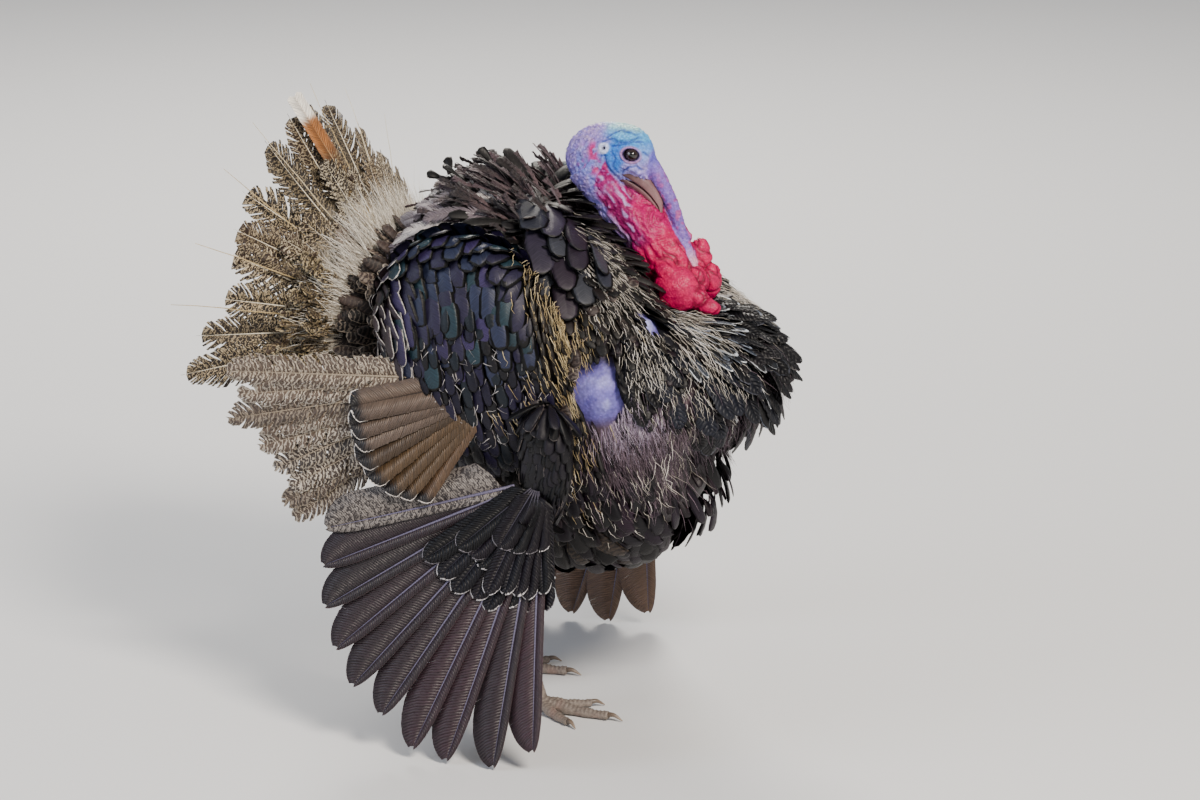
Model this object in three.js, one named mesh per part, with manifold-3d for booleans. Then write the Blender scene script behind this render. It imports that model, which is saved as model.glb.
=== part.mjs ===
// A life-size wild turkey tom in full strut: body puffed into a ball, head drawn back over the breast, wings
// dropped until the primaries brush the floor, and the tail raised as a fan.
// Millimetres. +X is forward, +Y is the bird's left, +Z is up. Lengths below are measured from the floor point
// midway between the hips; at the end the whole bird is shifted so that the origin is the floor point under the
// middle of its bounding box.
import * as THREE from "three";
import { mergeVertices } from "three/addons/utils/BufferGeometryUtils.js";
import Module from "manifold-3d";

const wasm = await Module();
wasm.setup();

const GAP = 0.35; // clear space left between touching pieces
const deg = THREE.MathUtils.degToRad;

// ---- driving dimensions -------------------------------------------------------------------------------------

// Trunk: an ellipsoid whose radius swells or sinks towards chosen directions.
const TRUNK_CENTRE = [30, 0, 366];
const TRUNK_HALF = [205, 165, 212];
const TRUNK_SWELLS = [
  { towards: [-0.55, 0, 0.84], by: 34, spread: 0.16 }, // ruffled back
  { towards: [0.5, 0, 0.87], by: -36, spread: 0.12 }, // slope from the nape to the breast
  { towards: [0.08, 0, 1], by: -27, spread: 0.08 }, // nape
  { towards: [0.67, 0, 0.74], by: -44, spread: 0.08 }, // hollow that the wattle hangs in
  { towards: [0.72, 0.24, 0.6], by: -15, spread: 0.05 },
  { towards: [0.72, -0.24, 0.6], by: -22, spread: 0.05 },
  { towards: [0.25, 0, 0.97], by: -10, spread: 0.02 }, // groove that the bare neck lies in
  { towards: [0.47, 0, 0.88], by: -16, spread: 0.025 },
  { towards: [0.96, 0.28, 0.02], by: 12, spread: 0.08 }, // left side of the upper breast
  { towards: [0.96, -0.28, 0.02], by: 12, spread: 0.08 }, // right side of the upper breast
  { towards: [0.92, 0, -0.39], by: -30, spread: 0.03 }, // step under the upper breast
  { towards: [0.86, 0.36, -0.37], by: -36, spread: 0.03 },
  { towards: [0.86, -0.36, -0.37], by: -36, spread: 0.03 },
];
const BELLY_TOP = 262;
const BREAST_BACK = 62;

// Head and bare neck.
const HEAD_CENTRE = [59, 0, 597];
const HEAD_HALF = [49, 25, 39];
const HEAD_SWELLS = [
  { towards: [-0.9, 0, -0.3], by: 3, spread: 0.3 }, // nape
  { towards: [0.75, 0, -0.65], by: 4, spread: 0.08 }, // lores, at the root of the bill
  { towards: [0.75, 0, 0.66], by: 4, spread: 0.08 }, // forehead
];
const NECK_ROUTE = [
  [38, 0, 592],
  [66, 0, 556],
  [96, 0, 522],
  [120, 0, 492],
  [136, 0, 474],
];
const NECK_RADII = [32, 28, 28, 30, 25];
const EYE = { x: 87, y: 14.8, z: 606, radius: 8 };
const EAR = { x: 58, y: 24, z: 612, radius: 3 };

// Bill: root, tip, and how far its ridge arches out of the straight line between them.
const BILL_ROOT = [78, 0, 582];
const BILL_TIP = [116, 0, 544];
const BILL_UP = { x: 0.62, z: 0.79 };
const BILL_ARCH = 5;

const SNOOD_ROUTE = [
  [98, 0, 604],
  [110, 1, 586],
  [121, 3, 566],
  [131, 4, 545],
  [140, 3, 520],
  [148, 0, 502],
  [155, -2, 486],
];
const SNOOD_RADII = [9, 10.5, 9, 7.5, 6.5, 6, 3];

// Wattle: the throat's lobes, each an ellipsoid.
const WATTLE_LOBES = [
  { at: [140, -22, 466], half: [26, 18, 24] },
  { at: [137, 20, 468], half: [22, 16, 22] },
  { at: [160, -22, 459], half: [15, 12, 13] },
  { at: [175, -24, 451], half: [14, 9, 10] },
  { at: [150, 0, 470], half: [17, 24, 18] },
  { at: [131, 12, 501], half: [12, 10, 26] },
  { at: [152, 16, 492], half: [13, 12, 24] },
  { at: [164, 15, 470], half: [12, 12, 20] },
];

// Wing: the shield of coverts over the folded arm, then fans that spread from the elbow and from the wrist.
const SHIELD = { at: [-42, 152, 418], half: [112, 50, 128], lean: deg(-14) };
const WRISTS = { right: [52, 190, 297], left: [26, 190, 290] };
const HAND_SWING = { right: 0, left: deg(-6) }; // how much further back each hand is turned
const ELBOW = [-10, 196, 395];
const HAND_HALF = [26, 15, 62];
const PRIMARIES = 10;
const PRIMARY_LENGTHS = [284, 311, 321, 325, 308, 303, 290, 274, 256, 240];
const PRIMARY_FIRST = deg(-88);
const PRIMARY_STEP = deg(-8.4);
const FAN_THICK = 3;

// Tail: feathers on a shallow cone about an axis that points back and a little up, the fan turned to the right.
const TAIL_ROOT = [-156, 0, 396];
const TAIL_FEATHERS = 18;
const TAIL_SWEEP = deg(110);
const TAIL_CONE = deg(51.6);
const TAIL_RISE = deg(10);
const TAIL_YAW = deg(-10);
const TAIL_INNER = 80;
const TAIL_PIECES = 6;
const TAIL_LENGTHS = [272, 255, 235, 238, 245, 255, 268, 272, 276, 268, 240, 218, 225, 238, 240, 240, 245, 250];
const RUMP = { at: [-158, 0, 398], half: [66, 96, 92] };

// Legs.
const HOCK = [-38, 66, 172];
const ANKLE = [-4, 60, 24];
const SHANK_RADIUS = 8.5;
const SPUR_HEIGHT = 82;
const STEP_BACK = { right: 0, left: 96 }; // how far each foot stands behind its place: the left one trails
const TOES = [
  { name: "middle", heading: 4, length: 84, radius: 7.4, claw: 17 },
  { name: "inner", heading: -32, length: 60, radius: 6.6, claw: 15 },
  { name: "outer", heading: 38, length: 64, radius: 6.6, claw: 15 },
  { name: "hind", heading: -160, length: 30, radius: 5.6, claw: 14 },
];

// ---- materials ----------------------------------------------------------------------------------------------

const finish = (color, roughness, metalness = 0) =>
  new THREE.MeshStandardMaterial({ color, roughness, metalness });
const FINISHES = {
  skin: finish(0x8fa6d8, 0.55),
  wattle: finish(0xd21f45, 0.45),
  horn: finish(0x6b5646, 0.45),
  eye: finish(0x2a1710, 0.08),
  body: finish(0x3b342f, 0.7),
  covert: finish(0x23242d, 0.4, 0.2),
  bronze: finish(0x6e5a46, 0.6),
  flight: finish(0x3a2f31, 0.6),
  tail: finish(0x7d6a55, 0.7),
  scale: finish(0x8d7768, 0.6),
};

// ---- geometry helpers ---------------------------------------------------------------------------------------

// A BufferGeometry from points and triangles, turned so that its faces point out.
function closedGeometry(points, triangles) {
  let volume = 0;
  for (let i = 0; i < triangles.length; i += 3) {
    const [a, b, c] = [0, 1, 2].map((k) => points[triangles[i + k]]);
    volume += a.dot(b.clone().cross(c));
  }
  if (volume < 0) triangles.reverse();
  return new THREE.BufferGeometry().setFromPoints(points).setIndex(triangles);
}

// The solid of a geometry, whose shared vertices are merged first.
function solid(geometry) {
  const bare = geometry.clone();
  bare.deleteAttribute("normal");
  bare.deleteAttribute("uv");
  const merged = mergeVertices(bare, 1e-4);
  return new wasm.Manifold(
    new wasm.Mesh({
      numProp: 3,
      vertProperties: new Float32Array(merged.attributes.position.array),
      triVerts: new Uint32Array(merged.index.array),
    }),
  );
}

function geometryOf(manifold) {
  const made = manifold.getMesh();
  const geometry = new THREE.BufferGeometry();
  geometry.setAttribute("position", new THREE.BufferAttribute(made.vertProperties, 3));
  geometry.setIndex(new THREE.BufferAttribute(made.triVerts, 1));
  return geometry;
}

const joined = (...solids) => solids.reduce((all, one) => all.add(one));
const cut = (from, ...tools) => tools.reduce((left, tool) => left.subtract(tool), from);

// Only the body with the most triangles is kept of a cut geometry, so that no loose splinter is left.
function oneBody(geometry) {
  const corners = geometry.index.array;
  const parent = Array.from({ length: geometry.attributes.position.count }, (_, i) => i);
  const rootOf = (i) => (parent[i] === i ? i : (parent[i] = rootOf(parent[i])));
  corners.forEach((corner, i) => (parent[rootOf(corner)] = rootOf(corners[i - (i % 3)])));
  const sizes = new Map();
  corners.forEach((corner) => sizes.set(rootOf(corner), 1 + (sizes.get(rootOf(corner)) ?? 0)));
  const [main] = [...sizes].sort((a, b) => b[1] - a[1])[0];
  const kept = new THREE.BufferGeometry();
  kept.setAttribute("position", geometry.attributes.position);
  kept.setIndex([...corners].filter((corner) => rootOf(corner) === main));
  return mergeVertices(kept, 1e-6);
}

// A ball whose radius towards each direction is an ellipsoid's plus its swells, grown evenly by `grow`.
function swollenBall(centre, half, swells, across, down, grow = 0) {
  const ball = new THREE.SphereGeometry(1, across, down).rotateX(Math.PI / 2);
  const place = ball.attributes.position;
  const heading = new THREE.Vector3();
  for (let i = 0; i < place.count; i++) {
    heading.fromBufferAttribute(place, i).normalize();
    let radius = 1 / Math.hypot(heading.x / half[0], heading.y / half[1], heading.z / half[2]);
    for (const swell of swells) {
      const nearness = heading.dot(new THREE.Vector3(...swell.towards).normalize());
      radius += swell.by * Math.exp((nearness - 1) / swell.spread);
    }
    heading.multiplyScalar(radius + grow);
    place.setXYZ(i, heading.x + centre[0], heading.y + centre[1], heading.z + centre[2]);
  }
  return ball;
}

const ellipsoid = (centre, half, across, down) => swollenBall(centre, half, [], across, down);

// A tube along a smooth curve: radiusAt(t) gives its half width and half depth, and both ends are closed.
function tube(route, radiusAt, steps, sides) {
  const curve = new THREE.CatmullRomCurve3(route.map((p) => new THREE.Vector3(...p)));
  const points = [];
  const triangles = [];
  for (let i = 0; i <= steps; i++) {
    const t = i / steps;
    const ahead = curve.getTangent(t);
    const across = new THREE.Vector3(-ahead.y, ahead.x, 0);
    if (across.length() < 0.05) across.set(0, 1, 0);
    across.normalize();
    const above = ahead.clone().cross(across).normalize();
    const [wide, deep] = [radiusAt(t)].flat().length > 1 ? radiusAt(t) : [radiusAt(t), radiusAt(t)];
    for (let k = 0; k < sides; k++) {
      const turn = (2 * Math.PI * k) / sides;
      const point = curve.getPoint(t);
      point.addScaledVector(across, wide * Math.cos(turn));
      point.addScaledVector(above, deep * Math.sin(turn));
      points.push(point);
    }
  }
  for (let i = 0; i < steps; i++)
    for (let k = 0; k < sides; k++) {
      const [a, b] = [i * sides + k, i * sides + ((k + 1) % sides)];
      triangles.push(a, b, b + sides, a, b + sides, a + sides);
    }
  for (const [ring, flip] of [[0, true], [steps, false]]) {
    const hub = points.push(curve.getPoint(ring / steps)) - 1;
    for (let k = 0; k < sides; k++) {
      const [a, b] = [ring * sides + k, ring * sides + ((k + 1) % sides)];
      triangles.push(...(flip ? [hub, b, a] : [hub, a, b]));
    }
  }
  return closedGeometry(points, triangles);
}

// Reads a list of values as a smooth function of t from 0 to 1, level beyond both ends.
function along(values) {
  const curve = new THREE.CatmullRomCurve3(values.map((v, i) => new THREE.Vector3(i, v, 0)));
  return (t) => curve.getPoint(THREE.MathUtils.clamp(t, 0, 1)).y;
}

// A plate on the surface at(across, out): across runs from 0 to 1, out from the root to the tip, and both
// skins are thick apart.
function plate(at, across, out, thick) {
  const middle = (i, k) => at(i / across, k / out);
  const skins = [[], []];
  for (let i = 0; i <= across; i++)
    for (let k = 0; k <= out; k++) {
      const here = middle(i, k);
      const alongIt = middle(i, Math.min(k + 1, out)).sub(middle(i, Math.max(k - 1, 0)));
      const acrossIt = middle(Math.min(i + 1, across), k).sub(middle(Math.max(i - 1, 0), k));
      const outward = alongIt.cross(acrossIt).normalize();
      skins[0].push(here.clone().addScaledVector(outward, thick / 2));
      skins[1].push(here.clone().addScaledVector(outward, -thick / 2));
    }
  const size = (across + 1) * (out + 1);
  const index = (i, k, skin) => skin * size + i * (out + 1) + k;
  const triangles = [];
  const quad = (a, b, c, d) => triangles.push(a, b, c, a, c, d);
  for (let i = 0; i < across; i++)
    for (let k = 0; k < out; k++) {
      quad(index(i, k, 0), index(i + 1, k, 0), index(i + 1, k + 1, 0), index(i, k + 1, 0));
      quad(index(i, k, 1), index(i, k + 1, 1), index(i + 1, k + 1, 1), index(i + 1, k, 1));
    }
  for (let i = 0; i < across; i++) {
    quad(index(i, 0, 0), index(i, 0, 1), index(i + 1, 0, 1), index(i + 1, 0, 0));
    quad(index(i, out, 0), index(i + 1, out, 0), index(i + 1, out, 1), index(i, out, 1));
  }
  for (let k = 0; k < out; k++) {
    quad(index(0, k, 0), index(0, k + 1, 0), index(0, k + 1, 1), index(0, k, 1));
    quad(index(across, k, 0), index(across, k, 1), index(across, k + 1, 1), index(across, k + 1, 0));
  }
  return closedGeometry([...skins[0], ...skins[1]], triangles);
}

// A fan of feathers between two headings: each feather's end is rounded, with a notch between neighbours.
function fan({ root, headingAt, from, to, feathers, inner, lengthAt, thick, notch, rows = 1 }) {
  const columns = feathers * 3;
  return plate(
    (s, t) => {
      const place = from + (to - from) * s;
      const within = (s * feathers) % 1;
      const edge = Math.abs(2 * within - 1);
      const ending = s === 0 || s === 1 ? 1 : edge;
      const length = lengthAt(place) * (1 - notch * ending ** 3);
      const reach = inner + (length - inner) * t;
      return new THREE.Vector3(...root).addScaledVector(headingAt(place), reach);
    },
    columns,
    rows,
    thick,
  );
}

// ---- the bird -----------------------------------------------------------------------------------------------

const bird = new THREE.Group();

function put(name, manifold, material) {
  const mesh = new THREE.Mesh(oneBody(geometryOf(manifold)), FINISHES[material]);
  mesh.name = name;
  bird.add(mesh);
}

const sides = [
  { name: "right", sign: -1 },
  { name: "left", sign: 1 },
];
const mirrored = (point, sign) => [point[0], point[1] * sign, point[2]];

// A slab as wide as the bird between two levels of one axis.
function slab(axis, low, high) {
  const size = [2000, 2000, 2000];
  size[axis] = high - low;
  const middle = [0, 0, 0];
  middle[axis] = (high + low) / 2;
  return solid(new THREE.BoxGeometry(...size).translate(...middle));
}
const FLOOR = slab(2, -500, 0);

// Trunk, and the same form a little larger, which cuts room for it in its neighbours.
const trunk = solid(swollenBall(TRUNK_CENTRE, TRUNK_HALF, TRUNK_SWELLS, 25, 17));
const trunkRoom = solid(swollenBall(TRUNK_CENTRE, TRUNK_HALF, TRUNK_SWELLS, 25, 17, GAP));
put("belly", cut(trunk, slab(2, BELLY_TOP, 1000)), "body");
const upper = cut(trunk, slab(2, -1000, BELLY_TOP + GAP));
put("breast", cut(upper, slab(0, -1000, BREAST_BACK)), "body");
put("back", cut(upper, slab(0, BREAST_BACK - GAP, 1000)), "body");

const rump = solid(ellipsoid(RUMP.at, RUMP.half, 14, 8));
const rumpRoom = solid(swollenBall(RUMP.at, RUMP.half, [], 14, 8, GAP));
put("rump", cut(rump, trunkRoom), "body");

// Head with sockets and ear pits, bill, bare neck, snood and wattle.
const headForm = (grow) => solid(swollenBall(HEAD_CENTRE, HEAD_HALF, HEAD_SWELLS, 16, 11, grow));
const neckRadius = along(NECK_RADII);
const neckForm = (grow) => solid(tube(NECK_ROUTE, (t) => [0.86 * neckRadius(t) + grow, neckRadius(t) + grow], 5, 10));
const billPoint = (t, lift) => [
  BILL_ROOT[0] + (BILL_TIP[0] - BILL_ROOT[0]) * t + lift * BILL_UP.x,
  0,
  BILL_ROOT[2] + (BILL_TIP[2] - BILL_ROOT[2]) * t + lift * BILL_UP.z,
];
const archAt = (t) => BILL_ARCH * 4 * t * (1 - t);
const upperBillForm = (grow) =>
  solid(
    tube(
      [0, 0.25, 0.5, 0.75, 1].map((t) => billPoint(t, archAt(t) + 4 * (1 - t))),
      (t) => [9.5 * Math.sqrt(1 - t * 0.96) + grow, 8 * Math.sqrt(1 - t * 0.96) + grow],
      6,
      10,
    ),
  );
const lowerBillForm = (grow) =>
  solid(
    tube(
      [0, 0.3, 0.6, 0.86].map((t) => billPoint(t, archAt(t) * 0.7 - 7 * (1 - t) - 2)),
      (t) => [7.6 * Math.sqrt(1 - t * 0.94) + grow, 4.2 * Math.sqrt(1 - t * 0.94) + grow],
      5,
      8,
    ),
  );
const snoodRadius = along(SNOOD_RADII);
const snoodForm = (grow) => solid(tube(SNOOD_ROUTE, (t) => snoodRadius(t) + grow, 7, 7));
const wattleForm = (grow) =>
  joined(...WATTLE_LOBES.map((lobe) => solid(swollenBall(lobe.at, lobe.half, [], 8, 5, grow))));

const eyeSockets = sides.map(({ sign }) =>
  solid(swollenBall([EYE.x, EYE.y * sign, EYE.z], Array(3).fill(EYE.radius), [], 10, 7, GAP)),
);
const earPits = sides.map(({ sign }) =>
  solid(ellipsoid(mirrored([EAR.x, EAR.y, EAR.z], sign), Array(3).fill(EAR.radius), 6, 4)),
);
put("head", cut(headForm(0), trunkRoom, ...eyeSockets, ...earPits), "skin");
put("bill_upper", cut(upperBillForm(0), headForm(GAP)), "horn");
put("bill_lower", cut(lowerBillForm(0), headForm(GAP), upperBillForm(GAP)), "horn");
put("neck", cut(neckForm(0), trunkRoom, headForm(GAP), upperBillForm(GAP), lowerBillForm(GAP)), "wattle");
put("snood", cut(snoodForm(0), headForm(GAP), upperBillForm(GAP), neckForm(GAP), lowerBillForm(GAP)), "skin");
put("wattle", cut(wattleForm(0), trunkRoom, neckForm(GAP), snoodForm(GAP), upperBillForm(GAP)), "wattle");
sides.forEach(({ name, sign }) => {
  const eyeball = solid(ellipsoid([EYE.x, EYE.y * sign, EYE.z], Array(3).fill(EYE.radius), 10, 7));
  put("eye_" + name, eyeball, "eye");
});

// Wings. A fan's heading turns in the wing's own plane, which leans out by its splay.
const wingHeading = (sign, splay) => (angle) =>
  new THREE.Vector3(
    Math.cos(angle) * Math.cos(splay(angle)),
    sign * Math.sin(splay(angle)),
    Math.sin(angle) * Math.cos(splay(angle)),
  );
const primaryLength = along(PRIMARY_LENGTHS);

function shieldForm(sign, grow) {
  const lens = swollenBall([0, 0, 0], SHIELD.half, [], 15, 9, grow);
  lens.rotateY(SHIELD.lean).translate(...mirrored(SHIELD.at, sign));
  return solid(lens);
}

function wing({ name, sign }) {
  const wrist = mirrored(WRISTS[name], sign);
  const swing = HAND_SWING[name];
  const elbow = mirrored(ELBOW, sign);
  const shieldRoom = shieldForm(sign, GAP);
  const hand = (grow) => solid(swollenBall([wrist[0] + 4, wrist[1], wrist[2] + 16], HAND_HALF, [], 8, 7, grow));
  put("wing_shield_" + name, cut(shieldForm(sign, 0), trunkRoom), "covert");
  put("wing_hand_" + name, cut(hand(0), trunkRoom, shieldRoom), "covert");

  const step = PRIMARY_STEP;
  const first = PRIMARY_FIRST + swing;
  const splayOf = (angle) => deg(14) - deg(5) * ((angle - first) / (step * PRIMARIES));
  const primaryFan = {
    root: wrist,
    headingAt: wingHeading(sign, splayOf),
    inner: 34,
    lengthAt: (angle) => primaryLength((angle - first) / (step * (PRIMARIES - 1)) - 0.055),
    thick: FAN_THICK,
    notch: 0.1,
  };
  for (let k = 0; k < PRIMARIES / 2; k++) {
    const from = first - step / 2 + 2 * k * step;
    const piece = fan({ ...primaryFan, from, to: from + step * 1.985, feathers: 2 });
    put(`wing_primaries_${k + 1}_${name}`, cut(solid(piece), hand(GAP), shieldRoom, trunkRoom, FLOOR), "flight");
  }

  // The black primary coverts lie over the roots of the primaries.
  const overHand = [wrist[0], wrist[1] + sign * 7, wrist[2]];
  const coverts = solid(
    fan({
      ...primaryFan,
      root: overHand,
      inner: 20,
      from: deg(-86) + swing,
      to: deg(-142) + swing,
      feathers: 5,
      lengthAt: () => 150,
      thick: 4,
    }),
  );
  put("wing_primary_coverts_" + name, cut(coverts, hand(GAP), shieldRoom, trunkRoom), "covert");

  // Barred secondaries, and the bronze greater coverts that lie outside them.
  const secondarySplay = () => deg(3);
  const secondaries = fan({
    root: [elbow[0], elbow[1] + sign * 8, elbow[2]],
    headingAt: wingHeading(sign, secondarySplay),
    from: deg(-143),
    to: deg(-178),
    feathers: 6,
    inner: 60,
    lengthAt: (angle) => 262 + 30 * Math.sin((deg(-143) - angle) * 2.2),
    thick: FAN_THICK,
    notch: 0.07,
  });
  const greaterCoverts = fan({
    root: [elbow[0], elbow[1] + sign * 4, elbow[2]],
    headingAt: wingHeading(sign, () => deg(12)),
    from: deg(-122),
    to: deg(-176),
    feathers: 7,
    inner: 40,
    lengthAt: () => 172,
    thick: FAN_THICK,
    notch: 0.06,
  });
  const primaryRoom = solid(
    fan({
      ...primaryFan,
      from: first - step / 2,
      to: first + step * (PRIMARIES - 0.5),
      feathers: PRIMARIES,
      thick: FAN_THICK + 2 * GAP,
      lengthAt: (angle) => primaryFan.lengthAt(angle) + 2,
      notch: 0,
    }),
  );
  const greater = cut(solid(greaterCoverts), shieldRoom, trunkRoom, hand(GAP), primaryRoom, coverts);
  put("wing_greater_coverts_" + name, greater, "bronze");
  const secondary = cut(solid(secondaries), shieldRoom, trunkRoom, primaryRoom, solid(greaterCoverts), rumpRoom);
  put("wing_secondaries_" + name, secondary, "flight");
}
sides.forEach(wing);

// Tail fan.
const tailAxis = new THREE.Vector3(-Math.cos(TAIL_RISE), 0, Math.sin(TAIL_RISE));
const tailUp = new THREE.Vector3(Math.sin(TAIL_RISE), 0, Math.cos(TAIL_RISE));
function tailHeading(angle) {
  const heading = tailAxis.clone().multiplyScalar(Math.cos(TAIL_CONE));
  heading.addScaledVector(tailUp, Math.sin(TAIL_CONE) * Math.cos(angle));
  heading.y = -Math.sin(TAIL_CONE) * Math.sin(angle);
  return heading.applyAxisAngle(new THREE.Vector3(0, 0, 1), TAIL_YAW);
}
const tailLength = (angle) => along(TAIL_LENGTHS)(0.5 - angle / (2 * TAIL_SWEEP));
for (let k = 0; k < TAIL_PIECES; k++) {
  const width = (2 * TAIL_SWEEP) / TAIL_PIECES;
  const from = TAIL_SWEEP - k * width;
  const piece = fan({
    root: TAIL_ROOT,
    headingAt: tailHeading,
    from,
    to: from - width + deg(0.2),
    feathers: TAIL_FEATHERS / TAIL_PIECES,
    inner: TAIL_INNER,
    lengthAt: tailLength,
    thick: FAN_THICK,
    notch: 0.08,
  });
  put("tail_" + (k + 1), cut(solid(piece), rumpRoom, trunkRoom), "tail");
}

// Legs.
const footRadius = (toe) => (t) => toe.radius * (1 - 0.28 * t) * (1 + 0.1 * Math.cos(t * 6 * Math.PI));
function leg({ name, sign }) {
  const hock = mirrored([HOCK[0] - 0.6 * STEP_BACK[name], HOCK[1], HOCK[2]], sign);
  const ankle = mirrored([ANKLE[0] - STEP_BACK[name], ANKLE[1], ANKLE[2]], sign);
  const thigh = solid(
    tube([[6, 68 * sign, 236], [-14, 68 * sign, 196], hock], (t) => 52 - 36 * t, 3, 8),
  );
  const knee = [hock[0] - 2, hock[1], hock[2] + 6];
  const middle = [(hock[0] + ankle[0]) / 2 - 3, (hock[1] + ankle[1]) / 2, (hock[2] + ankle[2]) / 2];
  const shankForm = (grow) =>
    solid(
      tube(
        [knee, hock, middle, ankle, [ankle[0] + 2, ankle[1], ankle[2] - 12]],
        (t) => [0.86, 1.06].map((share) => share * (SHANK_RADIUS + 3.5 * Math.abs(2 * t - 1) ** 3) + grow),
        6,
        8,
      ),
    );
  put("thigh_" + name, cut(thigh, trunkRoom, shankForm(GAP)), "body");
  put("shank_" + name, cut(shankForm(0), trunkRoom, FLOOR), "scale");

  const spurShare = (SPUR_HEIGHT - ankle[2]) / (hock[2] - ankle[2]);
  const spurRoot = [ankle[0] + (hock[0] - ankle[0]) * spurShare - 4, hock[1] - sign * 2, SPUR_HEIGHT];
  const spurTip = [spurRoot[0] - 30, spurRoot[1] - sign * 9, spurRoot[2] + 5];
  const spur = tube([spurRoot, [spurRoot[0] - 14, spurRoot[1] - sign * 4, SPUR_HEIGHT - 1], spurTip], (t) => 6 - 5 * t, 3, 6);
  put("spur_" + name, cut(solid(spur), shankForm(GAP), shankForm(3 * GAP)), "horn");

  // Toes run out from under the ankle, flat on the floor, each with its claw. Each one gives way to those
  // before it in the list.
  const before = [shankForm(GAP)];
  for (const toe of TOES) {
    const heading = deg(toe.heading) * sign;
    const [run, rise] = [Math.cos(heading), Math.sin(heading)];
    const out = (distance, height) => [ankle[0] + run * distance, ankle[1] + rise * distance, height];
    const high = toe.name === "hind" ? 20 : 13;
    const low = toe.radius * 0.62;
    const route = [out(0, high), out(toe.length * 0.4, low + 2.4), out(toe.length * 0.7, low), out(toe.length, low)];
    const toeForm = (grow) => solid(tube(route, (t) => footRadius(toe)(t) + grow, 6, 6));
    put(`toe_${toe.name}_${name}`, cut(toeForm(0), FLOOR, ...before), "scale");
    const clawRoute = [
      out(toe.length - 3, low + 0.6),
      out(toe.length + toe.claw * 0.55, low + 1.2),
      out(toe.length + toe.claw, 1.4),
    ];
    const claw = tube(clawRoute, (t) => [3.4 - 2.5 * t, 4 - 3.1 * t], 3, 5);
    put(`claw_${toe.name}_${name}`, cut(solid(claw), toeForm(GAP), FLOOR), "horn");
    before.push(toeForm(GAP));
  }
}
sides.forEach(leg);

// The origin is the floor point under the middle of the bounding box.
const bounds = new THREE.Box3().setFromObject(bird);
const middle = bounds.getCenter(new THREE.Vector3());
bird.position.set(-middle.x, -middle.y, -bounds.min.z);

export default bird;
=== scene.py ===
# %% [markdown]
# # A turkey tom in full strut
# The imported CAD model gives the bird's size and outline: its solids end where the feathers do. Here one
# skin, a coat of separate feathers, horn and eyes stand in for them. Every shape is worked out in
# millimetres from the floor point between the feet, and `to_row` carries it into the frame's metres. The
# eye says how far the two origins are apart.

# %% The frame
import math

import bpy
import numpy as np
from mathutils import Matrix, Vector


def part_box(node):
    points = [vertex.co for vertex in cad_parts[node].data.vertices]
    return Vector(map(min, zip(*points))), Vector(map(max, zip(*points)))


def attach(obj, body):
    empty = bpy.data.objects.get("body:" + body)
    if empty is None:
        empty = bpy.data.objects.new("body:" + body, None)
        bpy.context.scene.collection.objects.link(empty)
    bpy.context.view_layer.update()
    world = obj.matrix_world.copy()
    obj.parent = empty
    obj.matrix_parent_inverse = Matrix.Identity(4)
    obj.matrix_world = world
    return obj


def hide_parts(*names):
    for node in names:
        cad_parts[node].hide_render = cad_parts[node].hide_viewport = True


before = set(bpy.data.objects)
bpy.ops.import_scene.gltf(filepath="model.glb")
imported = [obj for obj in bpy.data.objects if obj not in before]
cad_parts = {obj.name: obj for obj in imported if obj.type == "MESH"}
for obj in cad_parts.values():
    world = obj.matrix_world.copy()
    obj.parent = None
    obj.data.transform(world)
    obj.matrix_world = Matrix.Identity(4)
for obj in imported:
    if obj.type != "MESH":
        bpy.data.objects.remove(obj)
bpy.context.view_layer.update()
rng = np.random.default_rng(23)
TAU = 2 * math.pi
SIDES = {"right": -1, "left": 1}

EYE = np.array([87.0, 14.8, 606.0])
eye_low, eye_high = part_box("eye_right")
SHIFT = np.array([(eye_low.x + eye_high.x) * 500 - EYE[0], 0, 0])


def to_row(points):
    """Millimetres from the floor point between the feet, made metres in the frame."""
    return (points + SHIFT) * 0.001


print(
    len(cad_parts), "CAD nodes; the feet stand", round(SHIFT[0], 1), "mm ahead of the frame's origin")

# %% [markdown]
# ## Small tools for arrays
# Whole arrays of points are worked on at once. `smooth` is a soft step, `noise` gives gentle random
# heights that are the same each time, and `tube` carries a ring along a curved route.


# %% Array tools
SCATTER = np.array([127.1, 311.7, 74.7])  # sines of these sums of a cube's place look random


def unit(v):
    return v / np.maximum(np.linalg.norm(v, axis=-1, keepdims=True), 1e-9)


def dot(a, b):
    return np.sum(a * b, axis=-1, keepdims=True)


def near_side(points):
    """The same places mirrored to the bird's right, where most zones are defined."""
    return points * [1, 0, 1] + np.abs(points) * [0, -1, 0]


def along_skin(flow, out):
    """The part of a direction that lies along the skin: flow - (flow . out) out, at unit length."""
    return unit(flow - dot(flow, out) * out)


def smooth(low, high, x):
    """0 below low, 1 above high, and 3t squared minus 2t cubed between them."""
    t = np.clip((x - low) / (high - low), 0, 1)
    return t * t * (3 - 2 * t)


def noise(points, size, seed):
    """Random heights from -1 to 1 at the corners of cubes `size` across, blended smoothly between."""
    cell = points / size + 17.3 * seed
    low = np.floor(cell)
    part = cell - low
    part = part * part * (3 - 2 * part)
    total = 0
    for corner in np.ndindex(2, 2, 2):
        value = np.sin((low + corner) @ SCATTER) * 43758.5453
        share = np.prod(np.where(corner, part, 1 - part), axis=-1)
        total = total + 2 * (value - np.floor(value) - 0.5) * share
    return total


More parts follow.
